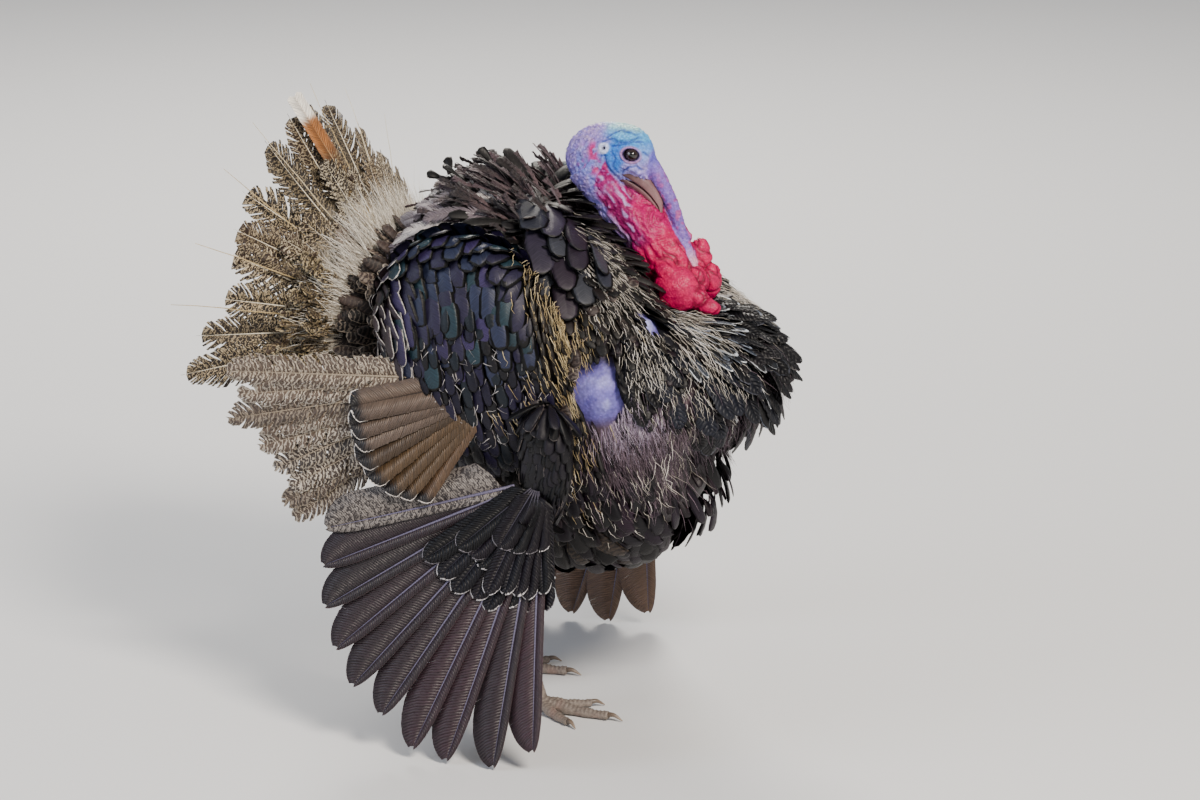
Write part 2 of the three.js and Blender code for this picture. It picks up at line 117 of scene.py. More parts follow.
def cells(points, size, seed):
    """How far in mm each point is inside its cell: the cells gather round seeds, one strewn in each cube."""
    place = points / size
    low = np.floor(place)
    nearest_seed = np.full(len(place), 9.0)
    next_seed = nearest_seed
    for corner in np.ndindex(3, 3, 3):
        cube = low + np.array(corner) - 1
        wave = np.sin(cube @ SCATTER + seed)[:, None] * np.array([43758.5, 25731.3, 61173.9])
        gap = np.linalg.norm(cube + (wave - np.floor(wave)) - place, axis=1)
        next_seed = np.minimum(next_seed, np.maximum(nearest_seed, gap))
        nearest_seed = np.minimum(nearest_seed, gap)
    return (next_seed - nearest_seed) * size


def along_route(route, t):
    """Points at shares t of a smooth route: each coordinate is a curve through the route's own points."""
    route = np.asarray(route, float)
    padded = np.vstack([2 * route[0] - route[1], route, 2 * route[-1] - route[-2]])
    place = np.clip(t, 0, 1) * (len(route) - 1)
    k = np.minimum(place.astype(int), len(route) - 2)
    f = (place - k)[:, None]
    a, b, c, d = (padded[k + i] for i in range(4))
    return 0.5 * (2 * b + (c - a) * f + (2 * a - 5 * b + 4 * c - d) * f**2 + (3 * b - a - 3 * c + d) * f**3)


def spaced(values, t):
    """The value at share t of a row of evenly spaced ones."""
    return np.interp(t, np.linspace(0, 1, len(values)), values)


def tube(route, across, above, steps, sides):
    """Rings (step, side, 3) along a route: half width `across` and half depth `above` at each step."""
    t = np.linspace(0, 1, steps)
    centre = along_route(route, t)
    ahead = unit(np.gradient(centre, axis=0))
    level = unit(np.stack([-ahead[:, 1], ahead[:, 0] + 1e-6, 0 * t], 1))
    upward = np.cross(ahead, level)
    turn = TAU * np.arange(sides) / sides
    wide, deep = (spaced(values, t)[:, None, None] for values in (across, above))
    ring = wide * np.cos(turn)[:, None] * level[:, None] + deep * np.sin(turn)[:, None] * upward[:, None]
    return centre[:, None] + ring


def tube_faces(steps, sides):
    """Four-sided faces between neighbouring rings, and one many-sided face over each end."""
    row, col = np.meshgrid(np.arange(steps - 1), np.arange(sides), indexing="ij")
    a = row * sides + col
    b = row * sides + (col + 1) % sides
    quads = np.stack([a, b, b + sides, a + sides], -1).reshape(-1, 4).tolist()
    last = (steps - 1) * sides
    return quads + [list(range(sides))[::-1], list(range(last, last + sides))]


def ball_headings(rows, sides):
    """Unit directions (row, side, 3) from just off the bottom pole to just off the top one."""
    tilt = np.linspace(0.03, math.pi - 0.03, rows)[:, None]
    turn = (TAU * np.arange(sides) / sides)[None]
    return np.stack(
        [np.sin(tilt) * np.cos(turn), np.sin(tilt) * np.sin(turn), -np.cos(tilt) + 0 * turn], -1)


# %% [markdown]
# ## Colour and nodes
# Colours are written as a paint chart's hex values, and one function turns them linear. Another adds a
# shader node with its settings and links, so that a material reads as a list of what it does.


# %% Colour and node helpers
def paint(code):
    """An sRGB hex colour as a linear colour with alpha."""
    srgb = np.array([int(code[i : i + 2], 16) for i in (1, 3, 5)]) / 255
    linear = np.where(srgb <= 0.04045, srgb / 12.92, ((srgb + 0.055) / 1.055) ** 2.4)
    return np.append(linear, 1.0)


def node(tree, kind, links=None, **settings):
    """Adds a node, sets its properties and fills its sockets. A node as a value links its first output."""
    made = tree.nodes.new("ShaderNode" + kind)
    for name, value in settings.items():
        setattr(made, name, value)
    for socket, value in (links or {}).items():
        if isinstance(value, bpy.types.Node):
            value = next(output for output in value.outputs if output.enabled)
        if isinstance(value, bpy.types.NodeSocket):
            tree.links.new(value, made.inputs[socket])
        else:
            made.inputs[socket].default_value = value
    return made


def new_material(name):
    material = bpy.data.materials.new(name)
    material.use_nodes = True
    material.node_tree.nodes.clear()
    return material, material.node_tree


MIX = {"data_type": "RGBA"}  # sockets 0, 6 and 7: share, first and second colour
TINT = {"data_type": "RGBA", "blend_type": "MULTIPLY"}
TIMES_PLUS = {"operation": "MULTIPLY_ADD"}  # sockets 0, 1 and 2: 0 times 1, plus 2
SOFT_STEP = {"interpolation_type": "SMOOTHSTEP"}


# %% [markdown]
# ## Turning arrays into pieces
# A piece is a mesh filled straight from arrays. Feather pieces carry two colours for each point, `ground`
# and `fringe`, a map named Vane that runs across and along each feather, and a map named OFBake with a
# small patch for each feather at its root's place on the skin.


# %% Piece makers
def placed(name, data):
    """An object in the scene that shows a mesh, lamp or camera."""
    made = bpy.data.objects.new(name, data)
    bpy.context.scene.collection.objects.link(made)
    return made


def finish_piece(name, mesh, materials, stands_for):
    mesh.update()
    made = placed(name, mesh)
    for material in materials:
        mesh.materials.append(material)
    mesh.shade_smooth()
    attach(made, "root")
    if stands_for:
        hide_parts(*stands_for)
    return made


def plain_piece(name, shells, material, stands_for):
    """Joins closed shells, each a (step, side, 3) grid in mm, into one piece."""
    points, faces, base = [], [], 0
    for shell in shells:
        part = tube_faces(*shell.shape[:2])
        ring = shell[0] - shell[0].mean(0)
        if np.cross(ring[0], ring[1]) @ (shell[-1].mean(0) - shell[0].mean(0)) < 0:
            part = [face[::-1] for face in part]
        faces += [[i + base for i in face] for face in part]
        points.append(shell.reshape(-1, 3))
        base += len(points[-1])
    mesh = bpy.data.meshes.new(name)
    mesh.from_pydata(to_row(np.vstack(points)), [], faces)
    print(name, sum(len(face) - 2 for face in faces), "triangles")
    return finish_piece(name, mesh, [material], stands_for)


def point_values(piece, name, values):
    """Stores one number for each point of a piece, for its material to read."""
    piece.data.attributes.new(name, "FLOAT", "POINT").data.foreach_set("value", np.ravel(values))


def outward(points, quads):
    """True when a closed shape's faces point out: its volume, added up face by face, is positive."""
    a, b, c, d = (points[corner] for corner in quads.T)
    return np.sum(a * np.cross(b, c)) + np.sum(a * np.cross(c, d)) > 0


def coat_piece(name, batches, material, stands_for=()):
    """One mesh from batches of feathers.

    For each feather and point a batch holds its place (points), vane and patch, the places on the two maps,
    ground and fringe, and rim, the distance to the vane's edge. Its quads are the faces of one feather.
    """
    widths = {"points": 3, "vane": 2, "patch": 2, "ground": 4, "fringe": 4, "rim": 1}
    stores = {key: [] for key in widths}
    quads, base = [], 0
    for batch in batches:
        count, size = batch["points"].shape[:2]
        corners = batch["quads"]
        if not outward(batch["points"][0], corners):
            corners = corners[:, ::-1]
        every = corners[None] + size * np.arange(count)[:, None, None] + base
        quads.append(every.reshape(-1, 4))
        for key, width in widths.items():
            stores[key].append(np.reshape(batch[key], (-1, width)))
        base += count * size
    quads = np.vstack(quads)
    flat = {key: np.vstack(store) for key, store in stores.items()}
    mesh = bpy.data.meshes.new(name)
    mesh.vertices.add(base)
    mesh.vertices.foreach_set("co", to_row(flat["points"]).ravel())
    mesh.loops.add(quads.size)
    mesh.loops.foreach_set("vertex_index", quads.ravel().astype(np.int32))
    mesh.polygons.add(len(quads))
    mesh.polygons.foreach_set("loop_start", np.arange(0, quads.size, 4, dtype=np.int32))
    mesh.update(calc_edges=True)
    for title, key in (("Vane", "vane"), ("OFBake", "patch")):
        layer = mesh.uv_layers.new(name=title)
        layer.data.foreach_set("uv", flat[key][quads.ravel()].ravel())
    for title in ("ground", "fringe"):
        layer = mesh.attributes.new(title, "FLOAT_COLOR", "POINT")
        layer.data.foreach_set("color", flat[title].ravel())
    made = finish_piece(name, mesh, [material], stands_for)
    point_values(made, "rim", flat["rim"])
    print(name, 2 * len(quads), "triangles")


# %% [markdown]
# ## The trunk's form
# In strut a tom raises its body feathers until the trunk is nearly a ball. The solids make that ball an
# ellipsoid whose radius swells or sinks towards chosen directions. The same formula here sets skin and
# feather roots any depth below the outline.

# %% The trunk's form
TRUNK_CENTRE = np.array([30.0, 0, 366])
TRUNK_HALF = np.array([205.0, 165, 212])
TRUNK_SWELLS = [
    ((-0.55, 0, 0.84), 34, 0.16),  # ruffled back
    ((0.5, 0, 0.87), -36, 0.12),  # slope from the nape to the breast
    ((0.08, 0, 1), -27, 0.08),  # nape
    ((0.67, 0, 0.74), -44, 0.08),  # hollow that the wattle hangs in
    ((0.72, 0.24, 0.6), -15, 0.05),
    ((0.72, -0.24, 0.6), -22, 0.05),
    ((0.25, 0, 0.97), -10, 0.02),  # groove that the bare neck lies in
    ((0.47, 0, 0.88), -16, 0.025),
    ((0.96, 0.28, 0.02), 12, 0.08),  # upper breast
    ((0.96, -0.28, 0.02), 12, 0.08),
    ((0.92, 0, -0.39), -30, 0.03),  # step under the upper breast
    ((0.86, 0.36, -0.37), -36, 0.03),
    ((0.86, -0.36, -0.37), -36, 0.03),
]


def swollen(heading, half, swells):
    """An ellipsoid's radius, plus by * exp((cosine to the swell - 1) / spread) for each swell."""
    reach = 1 / np.linalg.norm(heading / half, axis=-1)
    for towards, by, spread in swells:
        reach = reach + by * np.exp((heading @ unit(np.array(towards, float)) - 1) / spread)
    return reach


def trunk(heading, inset):
    """Points in each heading from the trunk's centre, inset mm below the ends of its feathers."""
    return TRUNK_CENTRE + heading * (swollen(heading, TRUNK_HALF, TRUNK_SWELLS) - inset)[..., None]


def facing(form, heading):
    """Outward direction of a form at each heading: square to two small steps over its surface."""
    spare = np.where(np.abs(heading[..., 2:]) < 0.9, [0, 0, 1.0], [1.0, 0, 0])
    a = unit(np.cross(heading, spare))
    b = np.cross(heading, a)
    step = 0.02
    over_a = form(unit(heading + step * a), 0) - form(unit(heading - step * a), 0)
    over_b = form(unit(heading + step * b), 0) - form(unit(heading - step * b), 0)
    out = unit(np.cross(over_a, over_b))
    return out * np.sign(dot(out, heading))


def seated(form, heading, inset):
    """Roots on a form, inset mm below its outline, and the outward directions there."""
    return form(heading, inset), facing(form, heading)


RUMP_CENTRE = np.array([-158.0, 0, 398])
RUMP_HALF = np.array([66.0, 96, 92])


def rump(heading, inset):
    """The same for the rump, a plain ellipsoid."""
    return RUMP_CENTRE + heading * (RUMP_HALF - inset)


SHIELD_AT = np.array([-42.0, 152, 418])
SHIELD_HALF = np.array([112.0, 50, 128])
LEAN = math.radians(-14)
SHIELD_TURN = np.array(
    [[math.cos(LEAN), 0, math.sin(LEAN)], [0, 1, 0], [-math.sin(LEAN), 0, math.cos(LEAN)]]
)


def shield(side):
    """The form of the covert feathers over one folded wing: an ellipsoid leaned about the crosswise axis."""

    def form(heading, inset):
        return (heading * (SHIELD_HALF - inset)) @ SHIELD_TURN.T + SHIELD_AT * [1, side, 1]

    return form


print("the raised back is", round(trunk(np.array([[0, 0, 1.0]]), 0)[0, 2]), "mm above the floor")


# %% [markdown]
# ## Bare head, neck and wattle
# A tom's head is bare: folded skin over a small skull, a snood that hangs over the bill, and a wattle of
# swollen lobes. One even net of small squares is wrapped round these overlapping forms, so it has no
# seams. Then it is moved in and out for folds, lids and pebbled skin, by formulas of each point's place.

# %% Forms of the bare head
HEAD_CENTRE = np.array([59.0, 0, 597])
HEAD_HALF = np.array([49.0, 25, 39])
HEAD_SWELLS = [((-0.9, 0, -0.3), 3, 0.3), ((0.75, 0, -0.65), 4, 0.08), ((0.75, 0, 0.66), 4, 0.08)]
NECK_ROUTE = np.array([[38, 0, 592], [66, 0, 556], [96, 0, 522], [120, 0, 492], [136, 0, 474]], float)
NECK_RADII = np.array([32, 28, 28, 30, 25], float)
SNOOD_ROUTE = [
    [96, 0, 605], [107.5, 1, 586], [118, 3, 566], [128, 4, 545], [137, 3, 520], [145.5, 0, 502],
    [153, -2, 486]]
SNOOD_RADII = np.array([8, 9.5, 8.5, 7.2, 6.3, 5.6, 2.6])
WATTLE_LOBES = [  # middle and half widths
    ((140, -22, 466), (26, 18, 24)),
    ((137, 20, 468), (22, 16, 22)),
    ((160, -22, 459), (15, 12, 13)),
    ((175, -24, 451), (13, 8.5, 9.5)),
    ((150, 0, 470), (17, 24, 18)),
    ((131, 12, 501), (12, 10, 26)),
    ((152, 16, 492), (13, 12, 24)),
    ((164, 15, 470), (12, 12, 20)),
    ((157, -8, 478), (9, 9, 12)),
    ((128, -25, 487), (13, 10, 9)),
]


def lobe(at, half, rows=18, sides=24):
    return np.array(at, float) + ball_headings(rows, sides) * np.array(half, float)


def caruncles(count):
    """Small round lumps in a crowd down the far side of the throat, larger towards the wattle."""
    t = np.linspace(0.45, 1, count)
    at = along_route(NECK_ROUTE + [12, 0, 8], t) + rng.normal(0, 4, (count, 3))
    at[:, 1] = 12 + rng.uniform(-3, 9, count)
    return [
        lobe(p, np.full(3, r), 10, 12) for p, r in zip(at, rng.uniform(3.4, 6.0, count) * (0.6 + 0.5 * t))]


around = ball_headings(40, 56)
bare_shells = [
    HEAD_CENTRE + around * (swollen(around, HEAD_HALF, HEAD_SWELLS) - 0.6)[..., None],
    tube(NECK_ROUTE, NECK_RADII * 0.84, NECK_RADII * 0.97, 40, 48),
    tube(SNOOD_ROUTE, SNOOD_RADII * 0.92, SNOOD_RADII * 0.92, 60, 28),
]
throat_fold = [[104, 8, 562], [116, 10, 545], [127, 11, 528], [140, 12, 512]]
bare_shells.append(tube(throat_fold, [4, 7, 9, 7], [4, 7, 8, 6], 30, 20))
bare_shells += [lobe(at, np.array(half) - 0.8) for at, half in WATTLE_LOBES] + caruncles(20)
print(len(bare_shells), "forms make the bare head, neck and wattle")


# %% Wrapping shells in one net
def wrapped(shells, square):
    """One closed net of even squares, `square` mm across, round overlapping closed shells."""
    points, faces, base = [], [], 0
    for shell in shells:
        faces += [[i + base for i in face] for face in tube_faces(*shell.shape[:2])]
        points.append(shell.reshape(-1, 3))
        base += len(points[-1])
    mesh = bpy.data.meshes.new("shells")
    mesh.from_pydata(np.vstack(points), [], faces)
    holder = placed("shells", mesh)
    wrap = holder.modifiers.new("wrap", "REMESH")
    wrap.mode = "VOXEL"
    wrap.voxel_size = square
    wrap.adaptivity = 0
    net = bpy.data.meshes.new_from_object(holder.evaluated_get(bpy.context.evaluated_depsgraph_get()))
    places = np.zeros(len(net.vertices) * 3)
    net.vertices.foreach_get("co", places)
    corners = np.zeros(len(net.loops), np.int32)
    net.loops.foreach_get("vertex_index", corners)
    bpy.data.objects.remove(holder)
    bpy.data.meshes.remove(mesh)
    bpy.data.meshes.remove(net)
    return places.reshape(-1, 3), corners.reshape(-1, 4)


def relaxed(points, quads, times, strength=0.6):
    """Moves every point part of the way to the middle of its neighbours, several times."""
    one, two = quads.T.ravel(), np.roll(quads, -1, 1).T.ravel()
    ends, others = np.concatenate([one, two]), np.concatenate([two, one])
    count = np.bincount(ends, minlength=len(points))[:, None]
    for _ in range(times):
        total = np.stack([np.bincount(ends, points[others, k], len(points)) for k in range(3)], 1)
        points = points + strength * (total / count - points)
    return points


def net_normals(points, quads):
    """Outward direction at each point: the mean of its faces', each square to the face's two diagonals."""
    a, b, c, d = (points[corner] for corner in quads.T)
    face = np.cross(c - a, d - b)
    total = np.stack(
        [np.bincount(quads.ravel(), np.repeat(face[:, k], 4), len(points)) for k in range(3)], 1)
    return unit(total)


bare, bare_quads = wrapped(bare_shells, 1.12)
bare = relaxed(bare, bare_quads, 3)
print("bare head net", len(bare_quads), "squares")

# %% [markdown]
# ## Folds of the bare skin
# The eye sits in a ring of lids, and creases arch over it like brows. Down the neck the skin hangs in
# long slanting folds, low on the throat in rings. The snood is wrinkled crosswise.


# %% Folds
def crease(x):
    """Rounded ridges with sharp valleys between them: one minus twice the size of a sine's low half."""
    return 1 - 2 * np.abs(np.sin(x * math.pi)) ** 0.6


def nearest(points, route, samples=60):
    """Share along a route of its point nearest to each point, and the distance to it."""
    t = np.linspace(0, 1, samples)
    marks = along_route(route, t)
    gap = np.linalg.norm(points[:, None] - marks[None], axis=2)
    best = gap.argmin(1)
    return t[best], gap[np.arange(len(points)), best]


flank = near_side(bare) * [1, -1, 1]
from_eye = flank - EYE
along_lids = 0.95 * from_eye[:, 0] - 0.31 * from_eye[:, 2]
over_lids = 0.31 * from_eye[:, 0] + 0.95 * from_eye[:, 2]
eye_ring = np.hypot(along_lids / 1.16, over_lids / 0.9)
on_face = smooth(11, 17, flank[:, 1])
snood_t, snood_gap = nearest(bare, SNOOD_ROUTE)
on_snood = smooth(3.2, 0.8, snood_gap - spaced(SNOOD_RADII, snood_t))
DOWN_NECK = unit(NECK_ROUTE[-1] - NECK_ROUTE[0])
ACROSS_NECK = np.array([-DOWN_NECK[2], 0, DOWN_NECK[0]])
down_neck = (bare - NECK_ROUTE[0]) @ DOWN_NECK
across_neck = (bare - NECK_ROUTE[0]) @ ACROSS_NECK
on_wattle = smooth(117, 128, down_neck + 0.12 * across_neck) * (1 - on_snood)
on_neck = smooth(26, 44, down_neck) * (1 - on_wattle) * (1 - on_snood)
on_head = (1 - smooth(18, 44, down_neck)) * (1 - on_snood)
filled = relaxed(bare, bare_quads, 16, 0.5)  # without the nicks between lobes
bare = bare + (filled - bare) * on_wattle[:, None]
wobble = noise(bare, 14, 1) * 3 + noise(bare, 6, 2) * 1.2

BILL_LINE = [[62, 0, 591], [116, 0, 546]]
bill_t, bill_gap = nearest(bare * [1, 0, 1], BILL_LINE)
beside_bill = smooth(17, 7, bill_gap) * smooth(0.05, 0.45, bill_t) * (1 - on_snood)
bare[:, 1] *= 1 - 0.5 * beside_bill * smooth(80, 66, down_neck)

FURROWS = {  # creases seen from the side: places (x, z), width and depth in mm
    "brow": ([(56, 618), (66, 622), (78, 619), (91, 623), (103, 626), (111, 621)], 1.4, 2.0),
    "high brow": ([(60, 623), (74, 630), (89, 627), (99, 631)], 1.1, 1.1),
    "upper lid": ([(66, 615), (78, 617), (91, 619), (101, 617), (109, 611)], 1.1, 1.2),
    "behind cheek": ([(60, 604), (63, 593), (70, 583), (75, 573)], 1.6, 2.2),
    "cheek": ([(75, 577), (80, 589), (92, 594), (99, 589)], 1.1, 1.1),
    "gape": ([(73, 573), (80, 570), (88, 564)], 1.3, 1.6),
    "jaw": ([(52, 590), (59, 579), (66, 569), (76, 560)], 1.4, 1.2),
    "forehead": ([(97, 609), (106, 602), (113, 592)], 1.1, 1.0),
    "temple": ([(66, 610), (71, 602), (69, 594), (74, 586)], 0.9, 0.9),
    "back of temple": ([(52, 612), (56, 604), (54, 595)], 1.0, 0.8),
    "nape": ([(34, 585), (47, 577), (56, 563), (62, 552)], 1.4, 1.0),
}


def furrow(places, width):
    """Share from 0 to 1 of how deep a point lies in a crease: exp(-(distance / width) squared)."""
    line = along_route([(x, 0, z) for x, z in places], np.linspace(0, 1, 40))
    stray = np.stack([noise(bare, 5, 17), 0 * bill_t, noise(bare, 5, 18)], 1) * 1.2
    gap = np.min(np.linalg.norm((flank * [1, 0, 1] + stray)[:, None] - line[None], axis=2), axis=1)
    return np.exp(-((gap / width) ** 2)) * smooth(4, 12, flank[:, 1])


def wattle_gaps(points):
    """Zero on the borders between the wattle's own lobes, rising to one inside each."""
    away = [np.linalg.norm((points - np.array(at)) / np.array(half), axis=1) for at, half in WATTLE_LOBES]
    away = np.sort(np.array(away), axis=0)
    return np.clip((away[1] - away[0]) / 0.5, 0, 1)


near_head = (down_neck < 80) * (1 - on_snood)
relief = np.zeros(len(bare))
creased = np.zeros(len(bare))
for places, width, depth in FURROWS.values():
    cut = furrow(places, width) * near_head * smooth(9.8, 11.2, eye_ring)
    puff = furrow(places, 2.8 * width) * near_head * smooth(10, 12, eye_ring)
    relief += 0.45 * depth * (puff - cut) - depth * cut
    creased = np.maximum(creased, cut)
lid = np.exp(-(((eye_ring - 8.4) / 1.4) ** 2)) - 0.8 * np.exp(-(((eye_ring - 10.8) / 0.9) ** 2))
relief += on_face * (1.5 * lid - 7 * smooth(7.6, 6.2, eye_ring))
above_eye = smooth(2, 10, from_eye[:, 2]) * smooth(32, 22, eye_ring) * smooth(10, 12.5, eye_ring)
relief += on_face * above_eye * 0.45 * crease((eye_ring + 1.2 * wobble) / 4.6)
below_eye = smooth(-1, -7, from_eye[:, 2]) * smooth(26, 18, eye_ring) * smooth(10.5, 12, eye_ring)
relief += on_face * below_eye * 0.35 * crease((eye_ring + 1.2 * wobble) / 4.2)
EAR = np.array([58.0, 24, 612])
ear_ring = np.hypot(flank[:, 0] - EAR[0], flank[:, 2] - EAR[2])
relief += on_face * (1.2 * np.exp(-(((ear_ring - 4.2) / 1.5) ** 2)) - 3.2 * smooth(2.4, 1.0, ear_ring))

drift = np.stack([noise(bare, 11, seed) for seed in (41, 42, 43)], 1)
pebble = smooth(0, 1.6, cells(bare + 1.5 * drift, 4.2, 3.0))
plain = on_head * smooth(10, 13, eye_ring) * smooth(6, 9, ear_ring)
relief += plain * (0.75 * pebble - 0.4 + 0.5 * noise(bare, 6, 4) + 0.4 * crease(noise(bare, 9, 5) * 2))
stretched = np.stack([down_neck * 0.2 + 0.16 * across_neck, across_neck, bare[:, 1]], 1) + 2.6 * drift
folds = smooth(0, 3.4, cells(stretched, 8.0, 5.0))
fine_folds = smooth(0, 1.8, cells(stretched * [1.6, 1, 1] + 1.5 * drift, 4.4, 8.0))
throat = np.hypot(down_neck - 90, (across_neck - 26) * 1.2) + 1.6 * wobble + 2.2 * noise(bare, 12, 44)
in_throat = smooth(38, 24, throat) * smooth(0, 12, across_neck)
rings = crease(throat / 5.6) * smooth(-0.7, 0.2, noise(bare, 9, 45))
relief += on_neck * (1 - in_throat) * (2.2 * folds + 0.7 * fine_folds - 1.6)
relief += on_neck * in_throat * (1.0 * rings + 0.5 * fine_folds)
relief += on_neck * (0.4 * noise(bare, 2.6, 6) + 1.0 * noise(bare, 10, 19))
HANG = unit(np.array([0.80, -0.15, -0.58]))
hanging = bare @ HANG
long_lobes = bare - 0.74 * hanging[:, None] * HANG
big_lobe = smooth(1.3, 0.8, np.linalg.norm((bare - [137, -24, 464]) / [23, 24, 25], axis=1))
lumps = np.maximum(smooth(0, 3.6, cells(long_lobes + 3.0 * drift, 14.0, 7.0)), big_lobe)
between = np.maximum(smooth(0.0, 0.55, wattle_gaps(bare)), big_lobe)
relief += on_wattle * (1.5 * lumps + 1.3 * between - 1.4 + 0.9 * noise(bare, 11, 7) + 1.2 * big_lobe)
relief += on_wattle * 0.5 * crease(noise(bare, 10, 8) * 1.6) * smooth(0.2, 0.9, lumps)
relief += on_snood * (0.4 * crease(snood_t * 27 + 0.6 * wobble) + 0.25 * noise(bare, 3.2, 9))
bare = bare + net_normals(bare, bare_quads) * relief[:, None]
bare = relaxed(bare, bare_quads, 1, 0.25)
print("folds from", round(relief.min(), 2), "to", round(relief.max(), 2), "mm")


# %% [markdown]
# ## Colours of the bare skin
# A strutting tom's face turns blue and its wattle scarlet. The colours are soft patches laid over each
# other by distance from the eye, the ear and the line of the neck. The red begins along a line from the
# back of the jaw over the cheek's hind crease to the corner of the mouth.


# %% Colour patches
def layered(under, layers):
    """Colours laid over each other: under + (colour - under) * share for each layer in turn."""
    for colour, share in layers:
        under = under + (paint(colour) - under) * share[:, None]
    return under


def patch_of(x, z, half_x, half_z, soft=0.5):
    """1 inside an oval seen from the side, 0 outside it, with a soft and slightly wandering edge."""
    away = np.hypot((flank[:, 0] - x) / half_x, (flank[:, 2] - z) / half_z)
    return smooth(1 + soft, 1 - soft, away + 0.14 * noise(bare, 7, 11))


fleck = smooth(-0.2, 0.6, noise(bare, 3.2, 24))
cloud = smooth(-0.4, 0.5, noise(bare, 9, 12))
tint = np.tile(paint("#9a86d2"), (len(bare), 1))
tint = layered(tint, [
    ("#7a78cf", 0.7 * cloud),
    ("#c9b2e2", 0.55 * fleck),
    ("#c8a2cf", patch_of(40, 634, 24, 14) * 0.55 * (0.4 + 0.6 * fleck)),
    ("#6f86dc", 0.7 * patch_of(36, 588, 14, 20, 0.6) * cloud),
    ("#2f8be0", patch_of(88, 606, 31, 22, 0.3) * on_head),
    ("#1f66c4", 0.75 * patch_of(74, 597, 11, 24, 0.45) * on_head),
    ("#58b2ea", patch_of(92, 630, 32, 12, 0.4) * on_head),
    ("#b4e6dc", patch_of(84, 637, 25, 7.5, 0.5)),
    ("#74a6ea", 0.75 * patch_of(101, 606, 9, 9) * on_head),
    ("#b99bdc", patch_of(90, 589, 12, 10, 0.4) * on_head),
    ("#8f7fd2", 0.5 * patch_of(97, 597, 9, 7, 0.5) * on_head),
    ("#d07aa6", 0.6 * patch_of(92, 581, 8, 5, 0.5) * on_head),
    # painted shade: the cut creases of brow, lids and cheek darkened to deep blue
    ("#123a8c", 0.95 * creased * patch_of(84, 612, 40, 30, 0.3)),
    # painted shade in the sunken gaps between the pebbles: darker blue, and violet towards the back of the
    # head
    ("#2a4fa8", 0.45 * plain * (1 - pebble) * patch_of(84, 612, 34, 30, 0.3)),
    ("#5a4ba6", 0.4 * plain * (1 - pebble) * smooth(64, 50, flank[:, 0])),
])
spots = 0.95 * smooth(-0.35, 0.15, noise(bare, 3.6, 13))
tint = layered(tint, [
    ("#b80a68", spots * patch_of(46, 608, 6, 9, 0.7)),
    ("#b80a68", spots * patch_of(49, 593, 6, 9, 0.7)),
    ("#a8449c", 0.65 * patch_of(36, 598, 12, 14, 0.7) * smooth(-0.1, 0.5, noise(bare, 4.4, 28))),
    ("#a476a8", on_face * np.exp(-(((eye_ring - 8.6) / 1.5) ** 2))),
    ("#20182c", on_face * smooth(7.9, 7.0, eye_ring)),
    ("#c2caee", on_face * smooth(7.0, 4.6, ear_ring)),
    # painted shade: the sunken ear opening darkened
    ("#2a2036", on_face * smooth(2.2, 1.3, ear_ring)),
])

RED_LINE = [
    (28, 540), (44, 563), (52, 584), (60, 598), (66, 585), (73, 573), (84, 570), (100, 560), (120, 556)]
red_top = np.interp(flank[:, 0], *zip(*RED_LINE)) + 2.2 * noise(bare, 5, 14)
HIND_LINE = [(0, 0), (22, -4), (50, -11), (85, -17), (110, -22)]
hind_edge = np.interp(down_neck, *zip(*HIND_LINE)) + 3.0 * noise(bare, 6, 26)
red = smooth(2.0, -2.5, flank[:, 2] - red_top) * (1 - on_snood)
red *= np.maximum(smooth(-5, 2, across_neck - hind_edge), smooth(86, 104, down_neck))
red *= 1 - 0.75 * fleck * smooth(46, 20, down_neck)
shadow = (1 - folds) * (1 - in_throat) * on_neck
drawn_out = np.stack([down_neck * 0.14 + 0.1 * across_neck, across_neck, bare[:, 1]], 1)
streaks = smooth(0.0, 0.45, noise(drawn_out + 1.2 * drift, 2.6, 15))
lilac = streaks * smooth(106, 84, down_neck + 6 * noise(bare, 12, 46)) * smooth(26, 12, across_neck)
scarlet = smooth(96, 112, down_neck + 3 * noise(bare, 8, 29)) * (1 - on_snood)
tint = layered(tint, [
    ("#8c0462", red),
    ("#a60466", red * smooth(-4, 16, across_neck + 0.2 * (down_neck - 60))),
    ("#b4005a", 0.8 * red * in_throat),
    ("#720446", 0.7 * red * smooth(0.2, 0.9, shadow)),
    ("#b99ad6", 0.85 * red * lilac * (1 - in_throat) * smooth(26, 44, down_neck)),
    # painted shade in the valleys between the throat's rings
    ("#7c0238", 0.5 * red * in_throat * smooth(0, -0.8, rings)),
    ("#b80050", scarlet),
    # painted highlight: lighter scarlet on the tops of the wattle's lumps
    ("#de1456", 0.3 * scarlet * smooth(0.5, 1.0, lumps) * smooth(0, 0.5, noise(bare, 9, 30))),
    # painted shade in the hollows between the wattle's lumps and lobes
    ("#6c0228", 0.85 * on_wattle * np.maximum(smooth(0.5, 0.0, lumps), smooth(0.5, 0.0, between))),
    ("#8464bc", on_snood),
    ("#4a62cc", 0.75 * on_snood * smooth(0.2, 0.0, snood_t)),
    ("#b4508e", 0.85 * on_snood * smooth(0.0, 0.5, noise(bare, 4, 16)) * smooth(0.1, 0.35, snood_t)),
    # painted shade in the snood's sunken wrinkles
    ("#43318c", 0.6 * on_snood * smooth(-0.1, -0.7, relief)),
    ("#eeb4c4", on_snood * smooth(0.74, 0.97, snood_t) * 0.85),
])
print("red covers", round(100 * red.mean()), "percent of the bare skin")

# %% [markdown]
# ## Skin of the trunk, wings and legs
# Under the feathers the skin needs no detail, so trunk, rump, thighs and folded wings are wrapped in wide
# squares, a coat's depth below the outline. It shows in two places: a bare blue bulge at the side of the
# breast, almost at the outline, and the thinly feathered lower breast. Shanks and toes get a fine net for
# their scales.

